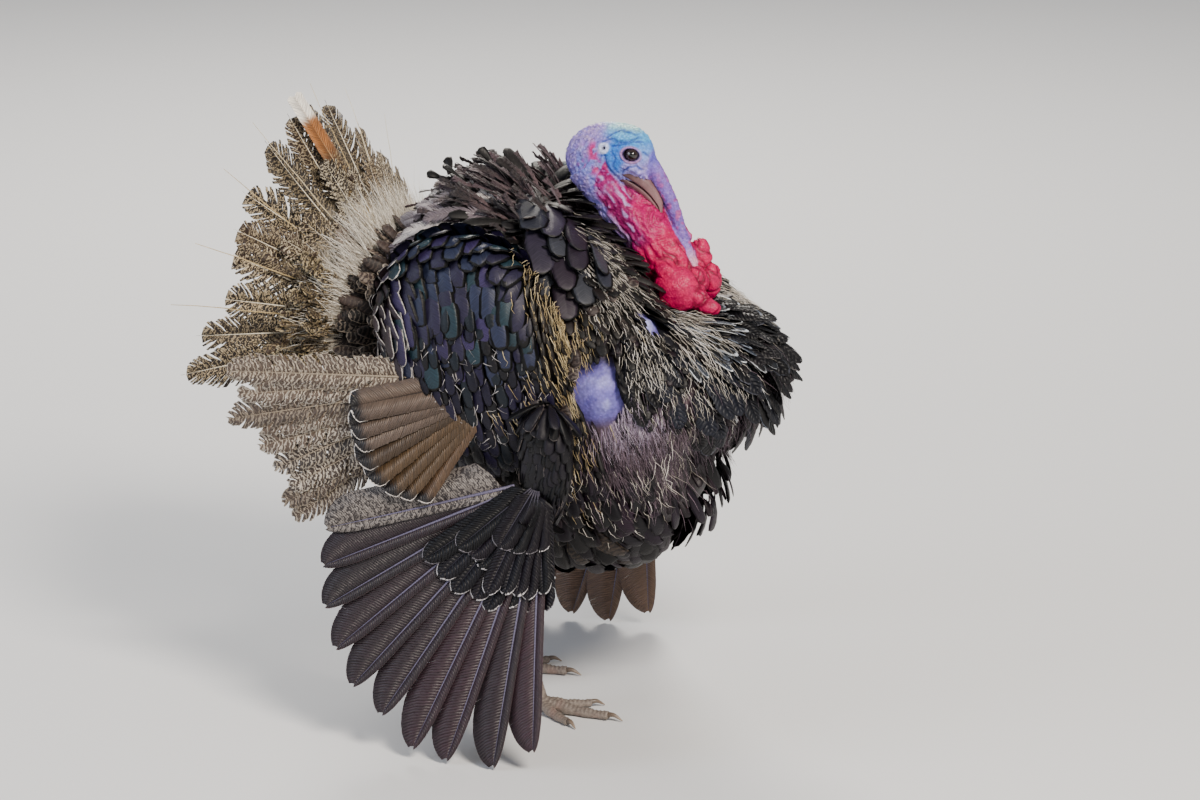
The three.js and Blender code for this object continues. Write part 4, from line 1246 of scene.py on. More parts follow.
# %% Feather finishes
def feather_finish(
        name, roughness, bar_mm, sheen, sheen_weight, metal=0.0, specular=0.5, wave=1.0, fleck_mm=4.0,
        cover=0.0):
    """Bars `bar_mm` apart along the shaft, a fringe of the width each feather carries, and streaked barbs.

    `cover` raises the threshold of the bars' wave, which narrows them. The colour is taken to the power of
    1.3 as painted shade, because dark barbs lie so close that little light comes back from between them.
    """
    material, tree = new_material(name)
    split = node(tree, "SeparateXYZ", {0: node(tree, "UVMap", uv_map="Vane")})
    ground = node(tree, "Attribute", attribute_name="ground")
    fringe = node(tree, "Attribute", attribute_name="fringe")
    rim = node(tree, "Attribute", attribute_name="rim").outputs["Fac"]
    place = node(tree, "TexCoord").outputs["Object"]
    stray = node(tree, "TexNoise", {"Vector": place, "Scale": 1000 / fleck_mm, "Detail": 2.0})

    across = node(tree, "Math", {0: split.outputs[0]}, operation="ABSOLUTE")
    oblique = node(tree, "Math", {0: across, 1: -0.35, 2: split.outputs[1]}, **TIMES_PLUS)
    wander = node(tree, "Math", {0: stray, 1: wave * bar_mm / 100 * 1.6, 2: oblique}, **TIMES_PLUS)
    phase = node(tree, "Math", {0: wander, 1: TAU * 100 / bar_mm}, operation="MULTIPLY")
    swing = node(tree, "Math", {0: phase}, operation="SINE")
    bars = node(tree, "MapRange", {0: swing, 1: cover - 0.1, 2: cover + 0.35}, **SOFT_STEP)
    bar_share = node(tree, "Math", {0: bars, 1: ground.outputs["Alpha"]}, operation="MULTIPLY")

    band = node(tree, "Math", {0: fringe.outputs["Alpha"], 1: 10.0}, operation="MULTIPLY")
    inwards = node(tree, "Math", {0: rim, 1: 0.8}, operation="SUBTRACT")
    worn = node(tree, "Math", {0: stray, 1: 1.6, 2: inwards}, **TIMES_PLUS)
    inside = node(tree, "Math", {0: band, 1: worn}, operation="SUBTRACT")
    edge = node(tree, "MapRange", {0: inside, 1: -0.15, 2: 0.25}, **SOFT_STEP)
    is_wide = node(tree, "Math", {0: band, 1: 0.05}, operation="GREATER_THAN")
    off_shaft = node(tree, "Math", {0: rim, 1: -0.5}, operation="GREATER_THAN")
    has_fringe = node(tree, "Math", {0: is_wide, 1: off_shaft}, operation="MULTIPLY")
    edge_share = node(tree, "Math", {0: edge, 1: has_fringe}, operation="MULTIPLY")
    share = node(tree, "Math", {0: bar_share, 1: edge_share}, operation="MAXIMUM")

    slanted = node(tree, "Math", {0: across, 1: -0.8, 2: split.outputs[1]}, **TIMES_PLUS)
    wide = node(tree, "Math", {0: split.outputs[0], 1: 6.0}, operation="MULTIPLY")
    long = node(tree, "Math", {0: slanted, 1: 70.0}, operation="MULTIPLY")
    barb = node(tree, "CombineXYZ", {0: wide, 1: long})
    streak = node(tree, "TexNoise", {"Vector": barb, "Scale": 1.0, "Detail": 2.0})
    tone = node(tree, "MapRange", {0: streak, 1: 0.3, 2: 0.7, 3: 0.7, 4: 1.3})
    pigment = node(tree, "Mix", {0: share, 6: ground, 7: fringe}, **MIX)
    streaked = node(tree, "Mix", {0: 1.0, 6: pigment, 7: tone}, **TINT)
    surface = {
        # painted shade: the power of 1.3 darkens every feather colour
        "Base Color": node(tree, "Gamma", {"Color": streaked, "Gamma": 1.3}),
        "Roughness": roughness,
        "Metallic": metal,
        "Normal": node(tree, "Bump", {"Height": streak, "Strength": 0.5, "Distance": 0.001}),
        "Specular IOR Level": specular,
        "Sheen Weight": sheen_weight,
        "Sheen Roughness": 0.4,
        "Sheen Tint": paint(sheen),
        "IOR": 1.54,
    }
    node(tree, "OutputMaterial", {"Surface": node(tree, "BsdfPrincipled", surface)})
    return material


body_vane = feather_finish("body_feather_keratin", 0.55, 5.0, "#b9a8a0", 0.0, 0.0, 0.3, cover=0.2)
dark_vane = feather_finish("glossy_covert_keratin", 0.46, 6.0, "#6d7f9a", 0.0, 0.0, 0.26)
bronze_vane = feather_finish(
    "bronze_covert_keratin", 0.5, 3.0, "#b08a5c", 0.05, 0.1, wave=2.5, fleck_mm=2.5, cover=0.2)
flight_vane = feather_finish(
    "flight_feather_keratin", 0.48, 7.0, "#8a80a0", 0.05, wave=2.0, fleck_mm=5.0, cover=0.1)
barred_vane = feather_finish(
    "barred_secondary_keratin", 0.6, 5.0, "#c9c0b4", 0.05, wave=1.8, fleck_mm=5.5, cover=0.25)
tail_vane = feather_finish(
    "tail_feather_keratin", 0.65, 5.2, "#d8c8b0", 0.03, wave=2.3, fleck_mm=4.4, cover=0.3)
down_wisp = feather_finish("down_and_filoplume_keratin", 0.7, 9.0, "#d6c8d0", 0.12)


# %% [markdown]
# ## Feather tracts of the trunk
# Roots are spread evenly over the ball of directions by the golden angle, a coat's depth below the
# outline. Each takes the look of a zone by how near its direction is to the zone's middle. Feathers
# stream down the neck near the bare skin, hang forward and down on the breast, and lie back and down
# behind. Each is lifted so that its tip just reaches the outline.


# %% Roots
def spiral(count):
    k = np.arange(count) + 0.5
    z = 1 - 2 * k / count
    turn = k * math.pi * (3 - math.sqrt(5))
    return np.stack([np.sqrt(1 - z**2) * np.cos(turn), np.sqrt(1 - z**2) * np.sin(turn), z], 1)


def under_wing(points, room):
    local = (near_side(points) * [1, -1, 1] - SHIELD_AT) @ SHIELD_TURN
    return np.linalg.norm(local / SHIELD_HALF, axis=1) < room


def in_rump(points, room=0.97):
    return np.linalg.norm((points - RUMP_CENTRE) / RUMP_HALF, axis=1) < room


def neck_distance(points):
    """Distance from the bare neck's skin, and from the wattle's lobes, whichever is nearer."""
    t, gap = nearest(points, NECK_ROUTE, 30)
    gap = gap - spaced(NECK_RADII, t)
    for at, half in WATTLE_LOBES[:5]:
        gap = np.minimum(gap, np.linalg.norm(points - np.array(at), axis=1) - np.mean(half))
    return gap


def over_bare(points, room=0.0):
    """True where a point stands over the blue bulge or the small blue patch above it."""
    seen = near_side(unit(points - TRUNK_CENTRE))
    from_bulge = np.linalg.norm((seen - BULGE) * [1.3, 1, 0.95], axis=1)
    on_bulge = from_bulge < 0.192 + room + 0.012 * noise(points, 14, 61)
    return on_bulge | (seen @ BLUE_PATCH > 0.9986 - 0.01 * room)


ZONES = {  # middle, tightness, length, width, depth, bend, fringe mm, bars, mm2 for each, ground and fringe
    "nape": ((0.05, -0.25, 0.97), 0.04, 30, 7, 13, 0.2, 0.4, 0.0, 30,
        ("#161213", "#221c1d"), ("#3c3632", "#2a2624")),
    "neck_side": ((0.40, -0.50, 0.77), 0.05, 32, 6.4, 15, 0.3, 0.4, 0.0, 27,
        ("#100d0e", "#171213", "#211b1a"), ("#3c3632", "#2a2624")),
    "chevron": ((0.06, -0.66, 0.75), 0.03, 40, 11, 18, 0.5, 0.4, 0.0, 50,
        ("#15110f", "#1f1814"), ("#2c241c", "#3a3026")),
    "flank": ((0.20, -0.95, 0.22), 0.06, 34, 6.4, 15, 0.2, 0.4, 0.0, 28,
        ("#120d0b", "#19130f", "#241b14"), ("#3a3024", "#2a2219")),
    "flank_low": ((0.20, -0.95, -0.24), 0.05, 34, 6.4, 15, 0.2, 0.4, 0.0, 30,
        ("#100d0e", "#191416"), ("#2c2a27", "#3c3834")),
    "shelf": ((0.84, -0.36, 0.44), 0.03, 48, 8, 13, 0.3, 1.3, 0.0, 30,
        ("#2c3038", "#454c58", "#16171c"), ("#c6ccd4", "#e0e4e8", "#8a92a0")),
    "curl": ((0.63, -0.72, 0.26), 0.05, 24, 11, 14, 0.4, 0.5, 0.0, 40,
        ("#0d0b0e", "#17141a", "#1f1d26"), ("#2c2930", "#4a4850")),
    "upper_breast": ((0.85, -0.46, 0.20), 0.045, 64, 25, 18, 0.6, 0.7, 0.0, 150,
        ("#17161e", "#20222c", "#2a2d39"), ("#5c5e68", "#3c3f4a", "#1c1d24")),
    "front": ((0.99, 0.0, 0.20), 0.05, 56, 21, 17, 0.6, 0.7, 0.0, 120,
        ("#1a191f", "#262429"), ("#4c4a4c", "#7d7a7c", "#2a292c")),
    "lower_breast": ((0.70, -0.55, -0.30), 0.13, 22, 8, 14, 0.4, 0.4, 0.0, 420,
        ("#241a22", "#30242d"), ("#30242d",)),
    "dark_low": ((0.34, -0.72, -0.60), 0.05, 48, 20, 16, 0.6, 0.6, 0.0, 100,
        ("#120c18", "#1e1226", "#301a30"), ("#6a5f66", "#2c242b", "#1b161a")),
    "belly": ((0.0, -0.3, -0.95), 0.2, 50, 20, 18, 0.5, 0.6, 0.0, 200,
        ("#100c13", "#1a1220", "#281a2c"), ("#30282a", "#453e40")),
    "back": ((-0.45, -0.3, 0.84), 0.14, 54, 15, 30, 0.4, 0.6, 0.2, 190,
        ("#1f191a", "#2b2324", "#151213"), ("#453b39", "#332b2b")),
    "mantle": ((-0.02, -0.36, 0.93), 0.02, 34, 12, 20, 0.3, 0.5, 0.0, 70,
        ("#1c1a20", "#2b2730"), ("#15131a", "#2b2626")),
    "side_back": ((-0.7, -0.7, 0.1), 0.2, 55, 18, 20, 0.5, 0.9, 0.3, 120,
        ("#282021", "#3a2f2f"), ("#b3a9a0", "#8a7f78")),
    "vent": ((-0.8, -0.3, -0.55), 0.15, 58, 20, 22, 0.6, 0.8, 0.4, 130,
        ("#241d1c", "#332a27"), ("#8a7c6e", "#5d5047")),
}
LANCES = ("nape", "neck_side", "flank", "flank_low", "shelf")
LOOSE = ("upper_breast", "front")
ZONE_NAMES = list(ZONES)
middles = unit(np.array([zone[0] for zone in ZONES.values()]))
tightness = np.array([zone[1] for zone in ZONES.values()])
numbers = np.array([zone[2:9] for zone in ZONES.values()], float)


def zone_shares(heading):
    """How much each zone owns a direction: exp((cosine - 1) / tightness), made to add up to one."""
    weight = np.exp((near_side(heading) @ middles.T - 1) / tightness) + 1e-6
    return weight / weight.sum(1, keepdims=True)


def stream(points, out, gap, stray=0.22):
    """The coat's lie: down the neck by the bare skin, forward and down in front, back and down behind."""
    behind, before = np.array([-0.55, 0, -0.83]), np.array([0.34, 0, -0.94])
    flow = behind + (before - behind) * smooth(-40, 70, points[:, 0])[:, None]
    share = smooth(75, 15, gap)[:, None] * smooth(-60, 40, points[:, 0])[:, None]
    flow = flow + (DOWN_NECK - flow) * share
    flow = flow + stray * np.stack([noise(points, 45, s) for s in (31, 32, 33)], 1)
    return along_skin(flow, out)


heading = spiral(19000)
heading = unit(heading + rng.normal(0, 0.006, heading.shape))
shares = zone_shares(heading)
blend_of = shares @ numbers
coat_area = 480000 / len(heading)
keep = rng.random(len(heading)) < coat_area / blend_of[:, 6]
heading, shares, blend_of = heading[keep], shares[keep], blend_of[keep]
depth = np.minimum(blend_of[:, 2], coat_depth(heading) - 2)
root, out = seated(trunk, heading, depth)
gap = neck_distance(root)
along = stream(root, out, gap)
keep = (gap > 3) & ~under_wing(root, 0.84) & ~in_rump(root)
for reach in (0.0, 0.5, 0.9):
    keep &= ~over_bare(root + along * blend_of[:, :1] * reach)
shares, blend_of, depth, root, out, along = (a[keep] for a in (shares, blend_of, depth, root, out, along))
zone_pick = (shares.cumsum(1) > rng.random((len(shares), 1))).argmax(1)
blend_of = 0.35 * blend_of + 0.65 * numbers[zone_pick]
print(len(root), "body feathers in", len(ZONES), "zones")


# %% Body feathers, zone by zone
def lift_to_outline(depth, length, bend, proud=0.0):
    """Angle at which a feather of this length, bent by `bend`, ends at the outline over a curved body."""
    run = length * 0.85
    rise = np.clip((depth + proud - run**2 / 420) / length, 0.02, 0.85)
    return np.arcsin(rise) - bend / 2


def loose_web(length, width):
    """A body feather whose web shows its barbs: strips, gently arched, that part a little near the tip."""
    return barbed(
        length, width / 2, width / 2, clumps=11, sweep=1.1, bare=0.1, split=0.007, pinch=0.1, thick=0.4,
        shaft=0.7, camber=0.22, outline=lambda v: blunt(v, 0.2, 0.74))


def trunk_batch(name, ragged=0.09, raised=0.0):
    zone, pick = ZONES[name], zone_pick == ZONE_NAMES.index(name)
    n = pick.sum()
    length = blend_of[pick, 0] * rng.uniform(0.8, 1.15, n)
    width = blend_of[pick, 1] * rng.uniform(0.85, 1.15, n)
    bend = -blend_of[pick, 3] * rng.uniform(0.6, 1.4, n)
    lift = lift_to_outline(depth[pick], length, bend) + rng.normal(0, 0.07, n) + raised
    lance = name in LANCES
    flat = vanes(length, width, POINTED if lance else ROUNDED, ragged, striped=lance)
    if name in LOOSE:
        flat = loose_web(length, width)
    laid = lay(
        flat, root[pick], along[pick], out[pick], lift, bend, rng.normal(0, 0.25, n),
        rng.normal(0, 0.09, n))
    ground, fringe = (mixed(n, *codes) for codes in zone[9:])
    return coloured(laid, ground, fringe, blend_of[pick, 5], blend_of[pick, 4] * rng.uniform(0.6, 1.3, n))


for name, material, zones, settings in (
    ("neck_ruff", body_vane, ("nape", "neck_side", "shelf"), {}),
    ("flank_feathers", body_vane, ("flank", "flank_low", "chevron", "mantle"), {}),
    ("breast_feathers", dark_vane, ("upper_breast", "front", "curl"), {"ragged": 0.05}),
    ("belly_feathers", dark_vane, ("lower_breast", "dark_low", "belly", "vent"), {}),
):
    coat_piece(name, [trunk_batch(zone, **settings) for zone in zones], material)
coat_piece("back_feathers", [trunk_batch("back", raised=0.12), trunk_batch("side_back")], body_vane)

# %% [markdown]
# ### Down, filoplumes and bristles
# Thin hair-like feathers stand between and over the vanes: cream lines on neck and flank, white crimps on
# the breast, mauve down on the lower breast, and bristles on the back of the head.


# %% Wisps over the trunk
def strewn(count, middle, spread_of):
    """Random directions in a bell-shaped spread round `middle`, half of them mirrored to the other side."""
    heading = unit(np.array(middle) + np.array(spread_of) * rng.normal(0, 1, (count, 3)))
    return heading * np.where(rng.random((count, 1)) < 0.5, [[1, -1, 1]], [[1, 1, 1]])


def evenly(count, middle, reach):
    """The golden spiral's directions, kept with a chance that falls off like a bell round `middle`."""
    heading = spiral(count)
    away = ((near_side(heading) - middle) / np.array(reach)) ** 2
    return heading[rng.random(count) < 1.3 * np.exp(-0.5 * away.sum(1))]


def wisp_batch(
        heading, length, thick, inset, colours, curl, crimp, rings, stray=0.25, raised=0.0, bend=-0.4):
    root, out = seated(trunk, heading, np.minimum(inset, coat_depth(heading) - 1))
    gap = neck_distance(root)
    along = stream(root, out, gap, stray)
    tip = root + along * np.mean(length) * 0.8
    hidden = under_wing(root, 1.0) | in_rump(root, 1.0) | over_bare(root) | over_bare(tip, -0.02)
    keep = (gap > 2) & ~hidden
    n = keep.sum()
    size = rng.uniform(*length, n)
    flat = wisps(size, rng.uniform(0.75, 1.2, n) * thick, rings, curl, crimp)
    lift = lift_to_outline(inset, size, bend, 1.4) + rng.normal(0, 0.08, n) + raised
    laid = lay(flat, root[keep], along[keep], out[keep], lift, bend * rng.uniform(0.5, 1.5, n))
    return coloured(laid, colours, colours)


GOLD, WHITE = ("#c3b28b", "#a89774", "#d6c8a6"), ("#d9d4ca", "#efebe5", "#aaa59c")
MAUVE, PALE = ("#7d6b76", "#64545e", "#94838f", "#4b3f48"), ("#c6b7ca", "#dad0de", "#a696ae")
FILOPLUMES = {  # for each batch: how strewn, and after that what wisp_batch takes
    "cream_filoplumes": [
        (evenly, 24000, (0.13, -0.96, 0.22), (0.13, 0.16, 0.34),
         (15, 28), 0.85, 1.2, GOLD, 0.03, 0.018, 6, 0.06),
        (evenly, 32000, (0.33, -0.58, 0.74), (0.15, 0.17, 0.15),
         (12, 22), 0.75, 1.2, WHITE, 0.03, 0.02, 5, 0.06),
        (evenly, 14000, (0.84, -0.36, 0.42), (0.1, 0.16, 0.1), (18, 34), 0.9, 1.6, WHITE, 0.04, 0.01, 5, 0.1),
    ],
    "white_crimped_filoplumes": [
        (evenly, 26000, (0.64, -0.70, 0.28), (0.09, 0.10, 0.15),
         (8, 15), 0.75, 1.8, WHITE, 0.3, 0.09, 6, 0.25, 0.2),
        (evenly, 15000, (0.86, -0.46, 0.10), (0.1, 0.2, 0.17),
         (9, 18), 0.75, 1.8, WHITE, 0.3, 0.09, 6, 0.25, 0.2),
        (evenly, 4000, (0.36, -0.72, -0.58), (0.2, 0.2, 0.14),
         (9, 16), 0.8, 3, WHITE, 0.3, 0.09, 6, 0.25, 0.2),
    ],
    "breast_down": [
        (evenly, 78000, (0.66, -0.62, -0.27), (0.17, 0.21, 0.14),
         (16, 30), 0.8, 7, MAUVE, 0.2, 0.0, 3, 0.25, 0.12, -0.6),
        (strewn, 1100, (0.55, -0.78, -0.10), (0.1, 0.08, 0.07),
         (12, 22), 0.6, 6, PALE, 0.22, 0.0, 3, 0.25, 0.0, -0.6),
        (strewn, 90, (0.66, -0.62, -0.36), (0.14, 0.14, 0.1),
         (24, 36), 1.0, 8, WHITE, 0.3, 0.0, 6, 0.25, 0.25, -1.2),
        (strewn, 420, (0.97, -0.2, -0.12), (0.06, 0.22, 0.14),
         (16, 30), 0.7, 6, MAUVE, 0.25, 0.0, 4, 0.25, 0.3, -0.6),
    ],
}
for name, rows in FILOPLUMES.items():
    batches = [
        wisp_batch(strew(count, middle, reach), *look) for strew, count, middle, reach, *look in rows]
    coat_piece(name, batches, down_wisp)

# %% Bristles of the bare head
n = 420
hairy = np.flatnonzero((bare[:, 0] < 52) & (down_neck < 70) & (across_neck < 30) & (bare[:, 2] > 540))
picked = rng.choice(hairy, n, replace=False)
out = net_normals(bare, bare_quads)[picked]
fall = along_skin(np.array([-0.35, 0, -0.9]) + 0.3 * rng.normal(0, 1, (n, 3)), out)
bristles = lay(
    wisps(rng.uniform(2.5, 5.0, n), np.full(n, 0.45)), bare[picked] - 0.3 * out, fall, out, 0.5, -0.5)
coat_piece("head_bristles", [coloured(bristles, ("#241a2c", "#3a2a40"), "#241a2c")], down_wisp)

# %% [markdown]
# ### Back and mantle
# Behind the neck large slate feathers lie in files like roof tiles. The back bristles with loose, hair-
# like feathers, a few end in a dark spoon, and pale plumes arch over by the rump.


# %% Files of mantle feathers
def file_of(start, end, count, length, width, inset, side):
    """Feathers in file: roots on an arc between two directions, each feather pointing along the arc."""
    start, end = (unit(np.array(a) * [1, side * -1, 1]) for a in (start, end))
    t = (np.linspace(0, 1, count) + rng.normal(0, 0.01, count))[:, None]
    root, out = seated(trunk, unit(start + (end - start) * t), inset)
    ahead = trunk(unit(start + (end - start) * (t + 0.05)), inset)
    size = length * rng.uniform(0.92, 1.08, count)
    lift = lift_to_outline(inset, size, MANTLE_BEND, 1.5)
    flat = vanes(size, width * rng.uniform(0.8, 1.15, count), ROUNDED, 0.08, 0.06)
    roll, sway = rng.normal(0, 0.12, count), rng.normal(0, 0.05, count)
    laid = lay(flat, root, along_skin(ahead - root, out), out, lift, MANTLE_BEND, roll, sway)
    return coloured(laid, ("#3c3e49", "#423d4c", "#3b323f", "#474951"), ("#0b0a0e",), 0.0, 2.2)


MANTLE_BEND = -0.35
FILES = [
    ((-0.25, -0.20, 0.95), (-0.06, -0.58, 0.81), 3, 30),
    ((-0.13, -0.20, 0.97), (0.05, -0.58, 0.81), 4, 29),
    ((-0.03, -0.20, 0.98), (0.13, -0.52, 0.84), 3, 27),
    ((0.05, -0.22, 0.97), (0.19, -0.42, 0.88), 3, 21),
]
mantle = [
    file_of(start, end, count, 76, wide, 9, side) for side in SIDES.values() for start, end, count,
    wide in FILES]
coat_piece("mantle_feathers", mantle, dark_vane)


# %% Hair-like back feathers and plumes
def upright(heading, up_share, back_share):
    """Roots on the back and the way they stand: between straight out and backwards."""
    root, out = seated(trunk, heading, 24.0)
    along = unit(np.array([-back_share, 0, up_share]) + 0.25 * rng.normal(0, 1, heading.shape))
    return root, along_skin(along, out), out


root, along, out = upright(strewn(560, (-0.40, -0.22, 0.88), (0.22, 0.2, 0.05)), 0.4, 1.0)
keep = ~under_wing(root, 0.98) & (neck_distance(root) > 14) & ~in_rump(root, 0.9)
root, along, out = (a[keep][:290] for a in (root, along, out))
n = len(root)
hair = barbed(
    rng.uniform(44, 66, n), 3.4, 3.4, clumps=7, sweep=2.4, bare=0.3, rag=0.25, split=0.04, pinch=0.75,
    shaft=0.5, outline=lambda v: 0.45 + 0.55 * v)
hair = lay(
    hair, root, along, out, rng.uniform(0.5, 1.0, n), -0.55, rng.normal(0, 0.5, n), rng.normal(0, 0.1, n))
hair = coloured(
    hair, ("#4a3c40", "#5c4c52", "#33282b"), ("#2b2022",), shaft="#6a5a5c", root="#6f5c60", root_share=0.6)
coat_piece("hair_feathers", [hair], down_wisp)

spoons_at = unit(
    np.array([[-0.52, -0.10, 0.86], [-0.60, -0.08, 0.80], [-0.45, -0.18, 0.88], [-0.34, -0.12, 0.94]]))
root, along, out = upright(spoons_at, 0.6, 0.6)
SPOON = np.array([[0, 0.14], [0.6, 0.1], [0.72, 0.45], [0.84, 0.95], [0.93, 1.0], [0.98, 0.7], [1.0, 0.2]])
spoons = lay(
    vanes(np.full(4, 62.0), np.full(4, 11.0), SPOON, 0.1), root, along, out, 0.95, -0.2,
    rng.normal(0, 0.5, 4))
spoons = coloured(spoons, ("#1d1a1b",), ("#3a3334",), root="#3d3334")
coat_piece("spoon_feathers", [spoons], dark_vane)

root, along, out = upright(strewn(60, (-0.50, -0.26, 0.82), (0.1, 0.08, 0.06)), 0.1, 1.0)
n = len(root)
plumes = barbed(
    rng.uniform(66, 92, n), 7.5, 7.5, clumps=24, sweep=1.6, bare=0.1, rag=0.12, split=0.02, pinch=0.4,
    shaft=0.7)
plumes = lay(
    plumes, root, along, out, rng.uniform(0.55, 0.95, n), -1.2, rng.normal(0, 0.4, n),
    rng.normal(0, 0.08, n))
plumes = coloured(plumes, ("#a39ca0", "#857b81", "#c6c1c0"), ("#a39ca0",), shaft="#e6e2df")
coat_piece("pale_plumes", [plumes], down_wisp)

# %% [markdown]
# ## Wings
# A strutting tom drops its wings until the primaries drag. The folded arm lies under a shield of coverts
# in neat files. Below it fan the bronze greater coverts and the barred secondaries from the elbow, and
# the black primary coverts and ten primaries from the wrist.

# %% The shield's coverts
SWING = {-1: 0.0, 1: math.radians(-6)}
ELBOW = np.array([-10.0, 196, 395])
HAND_HALF = np.array([29.0, 16, 66])


def shield_files(side, file_step, first, last, row_step, span=(-64, 56)):
    """Roots of coverts in files from top to bottom, neighbours half a row apart: directions, the same
    directions one small step further down, and how far fore and how far up each stands."""
    files = np.radians(np.arange(*span, file_step))
    rows = np.radians(np.arange(first, last, -row_step))
    fore, down = (a.ravel() for a in np.meshgrid(files, rows, indexing="ij"))
    down = down - np.repeat(np.arange(len(files)) % 2, len(rows)) * math.radians(row_step / 2)
    down = down + rng.normal(0, 0.02, down.shape)
    fore = fore + rng.normal(0, 0.012, fore.shape)
    place = lambda r: np.stack([np.sin(fore), side * np.cos(fore) * np.cos(r), np.cos(fore) * np.sin(r)], 1)
    return place(down), place(down - 0.03), fore, down


def shield_set(side, file_step, first, last, row_step, length, width, seat, span=(-64, 56)):
    """One layer of coverts, and how far fore each stands. They shorten and round off quickly near the top."""
    form = shield(side)
    heading, ahead, fore, down = shield_files(side, file_step, first, last, row_step, span)
    n = len(fore)
    root, out = seated(form, heading, seat)
    size = length * rng.uniform(0.9, 1.1, n) * (0.75 + 0.25 * np.cos(fore)) * (
        1 - 0.4 * smooth(1.05, 1.5, down))
    wide = width * np.maximum(np.cos(fore), 0.45) ** 0.6 * rng.uniform(0.92, 1.08, n)
    bend = -rng.uniform(0.3, 0.5, n)
    lift = np.arcsin(
        np.clip((seat - 1 - size**2 / 330) / size, -0.1, 0.6)) - bend / 2 + rng.normal(0, 0.03, n)
    flat = vanes(size, wide, ROUNDED, 0.08, 0.1, 0.7)
    over_top = 1.15 * smooth(0.75, 1.45, down) * smooth(2.25, 1.8, down)
    roll, sway = 0.12 * side + rng.normal(0, 0.06, n), rng.normal(0, 0.03, n)
    return lay(
        flat, root, along_skin(form(ahead, seat) - root, out), out, lift, bend - over_top, roll, sway), fore


def crescents(batch, tone, pale, share_pale, dark, widths):
    """A dark fringe round each covert, and a pale one round those picked."""
    picked = share_pale[:, None]
    return coloured(
        batch, tone, np.where(picked, paint(pale), paint(dark)), 0.0, np.where(share_pale, *widths))


def shield_batches(side):
    upper, fore = shield_set(side, 9.5, 156, 20, 13.0, 70, 23.5, 12.0)
    n = len(fore)
    rear = smooth(-0.55, -0.85, fore + rng.normal(0, 0.05, n))[:, None]
    # slate is the coverts' own colour; the teal and violet casts are painted sheen that stands for their
    # gloss
    tone = mixed(n, "#363c54", "#42395c", "#2e434d", "#36324a")
    tone = tone + (mixed(n, "#3f363c", "#4c4246") - tone) * rear
    upper = crescents(
        upper, tone, "#b9b6b4", (fore < -0.55) & (rng.random(n) < 0.75), "#08080b", (1.1, 3.2))
    lower, fore = shield_set(side, 6.5, 36, -92, 10.0, 44, 13.5, 11.0)
    n = len(fore)
    tone = mixed(n, "#201b36", "#17142a", "#272040", "#1a1922", "#1b2530")
    pale = (fore < -0.5) & (rng.random(n) < 0.5) | (rng.random(n) < 0.12)
    lower = crescents(lower, tone, "#aaa6a6", pale, "#060508", (0.8, 1.2))
    edge = shield_set(side, 7.5, 112, -92, 11.0, 34, 9.5, 9.0, span=(57, 90))[0]
    edge = coloured(edge, ("#1c1511", "#2a2019", "#17130f"), ("#3a3024", "#5d5142"), 0.0, 0.4)
    return [upper, lower, edge]


def tick_batch(side):
    """Short white hairs that stand out between the lower coverts."""
    heading = shield_files(side, 5.0, 12, -88, 6.0)[0]
    root, out = seated(shield(side), heading[rng.random(len(heading)) < 0.8], 3.0)
    along = along_skin(np.array([0.1, 0, -1.0]) + 0.8 * rng.normal(0, 1, root.shape), out)
    n = len(root)
    laid = lay(wisps(rng.uniform(6, 13, n), rng.uniform(0.5, 0.9, n), 4, 0.2), root, along, out, 0.25, -0.3)
    return coloured(laid, ("#c6c3c4", "#8f8b8d"), ("#c6c3c4",))


def edge_lines(side):
    """Cream lines that run down over the shield's front edge and join those of the flank."""
    heading, ahead, fore, down = shield_files(side, 2.4, 104, -84, 6.0, (2, 88))
    edge = smooth(0.7, 1.2, fore + rng.normal(0, 0.12, len(fore)))
    front_foot = 0.5 * smooth(0.05, 0.6, fore) * smooth(0.15, -0.5, down)
    pick = rng.random(len(fore)) < 0.62 * np.maximum(edge, front_foot) * np.cos(fore) ** 0.3
    form = shield(side)
    root, out = seated(form, heading[pick], 1.0)
    flow = unit(form(ahead[pick], 1.0) - root) + [0.15, 0, 0] + 0.08 * rng.normal(0, 1, root.shape)
    along = along_skin(flow, out)
    n = len(root)
    flat = wisps(rng.uniform(13, 24, n), rng.uniform(0.65, 1.0, n), 6, 0.03, 0.018)
    laid = lay(flat, root, along, out, 0.14, -0.3 * rng.uniform(0.5, 1.5, n))
    return coloured(laid, GOLD, GOLD)


def hand_batch(side):
    """Scale-like coverts over the wing's hand, an ellipsoid round the wrist."""
    heading = spiral(300)
    heading = heading[heading[:, 1] * side > -0.35]
    n = len(heading)
    root, out = seated(lambda h, inset: WRISTS[side] + [4, 0, 20] + h * (HAND_HALF - inset), heading, 4.0)
    along = along_skin(np.array([-0.25, 0, -1.0]) + 0 * root, out)
    length = rng.uniform(30, 42, n)
    laid = lay(vanes(length, rng.uniform(12, 16, n), ROUNDED, 0.06, 0.14), root, along, out, 0.08, -0.35)
    return coloured(
        laid, ("#121016", "#1b1820", "#211c29"), ("#7d7674", "#060508", "#060508", "#060508"), 0.0, 0.8)


for name, side in SIDES.items():
    coat_piece(
        f"shield_coverts_{name}", shield_batches(side) + [hand_batch(side)], dark_vane,
        [f"wing_shield_{name}", f"wing_hand_{name}"])
    coat_piece(f"shield_hairs_{name}", [tick_batch(side), edge_lines(side)], down_wisp)


# %% Fans of long feathers
def wing_heading(angle, splay, side):
    """Straight out at an angle above level, fore being 0, and splayed away from the body."""
    flat = np.cos(splay)
    return np.stack([np.cos(angle) * flat, side * np.sin(splay) + 0 * angle, np.sin(angle) * flat], -1)


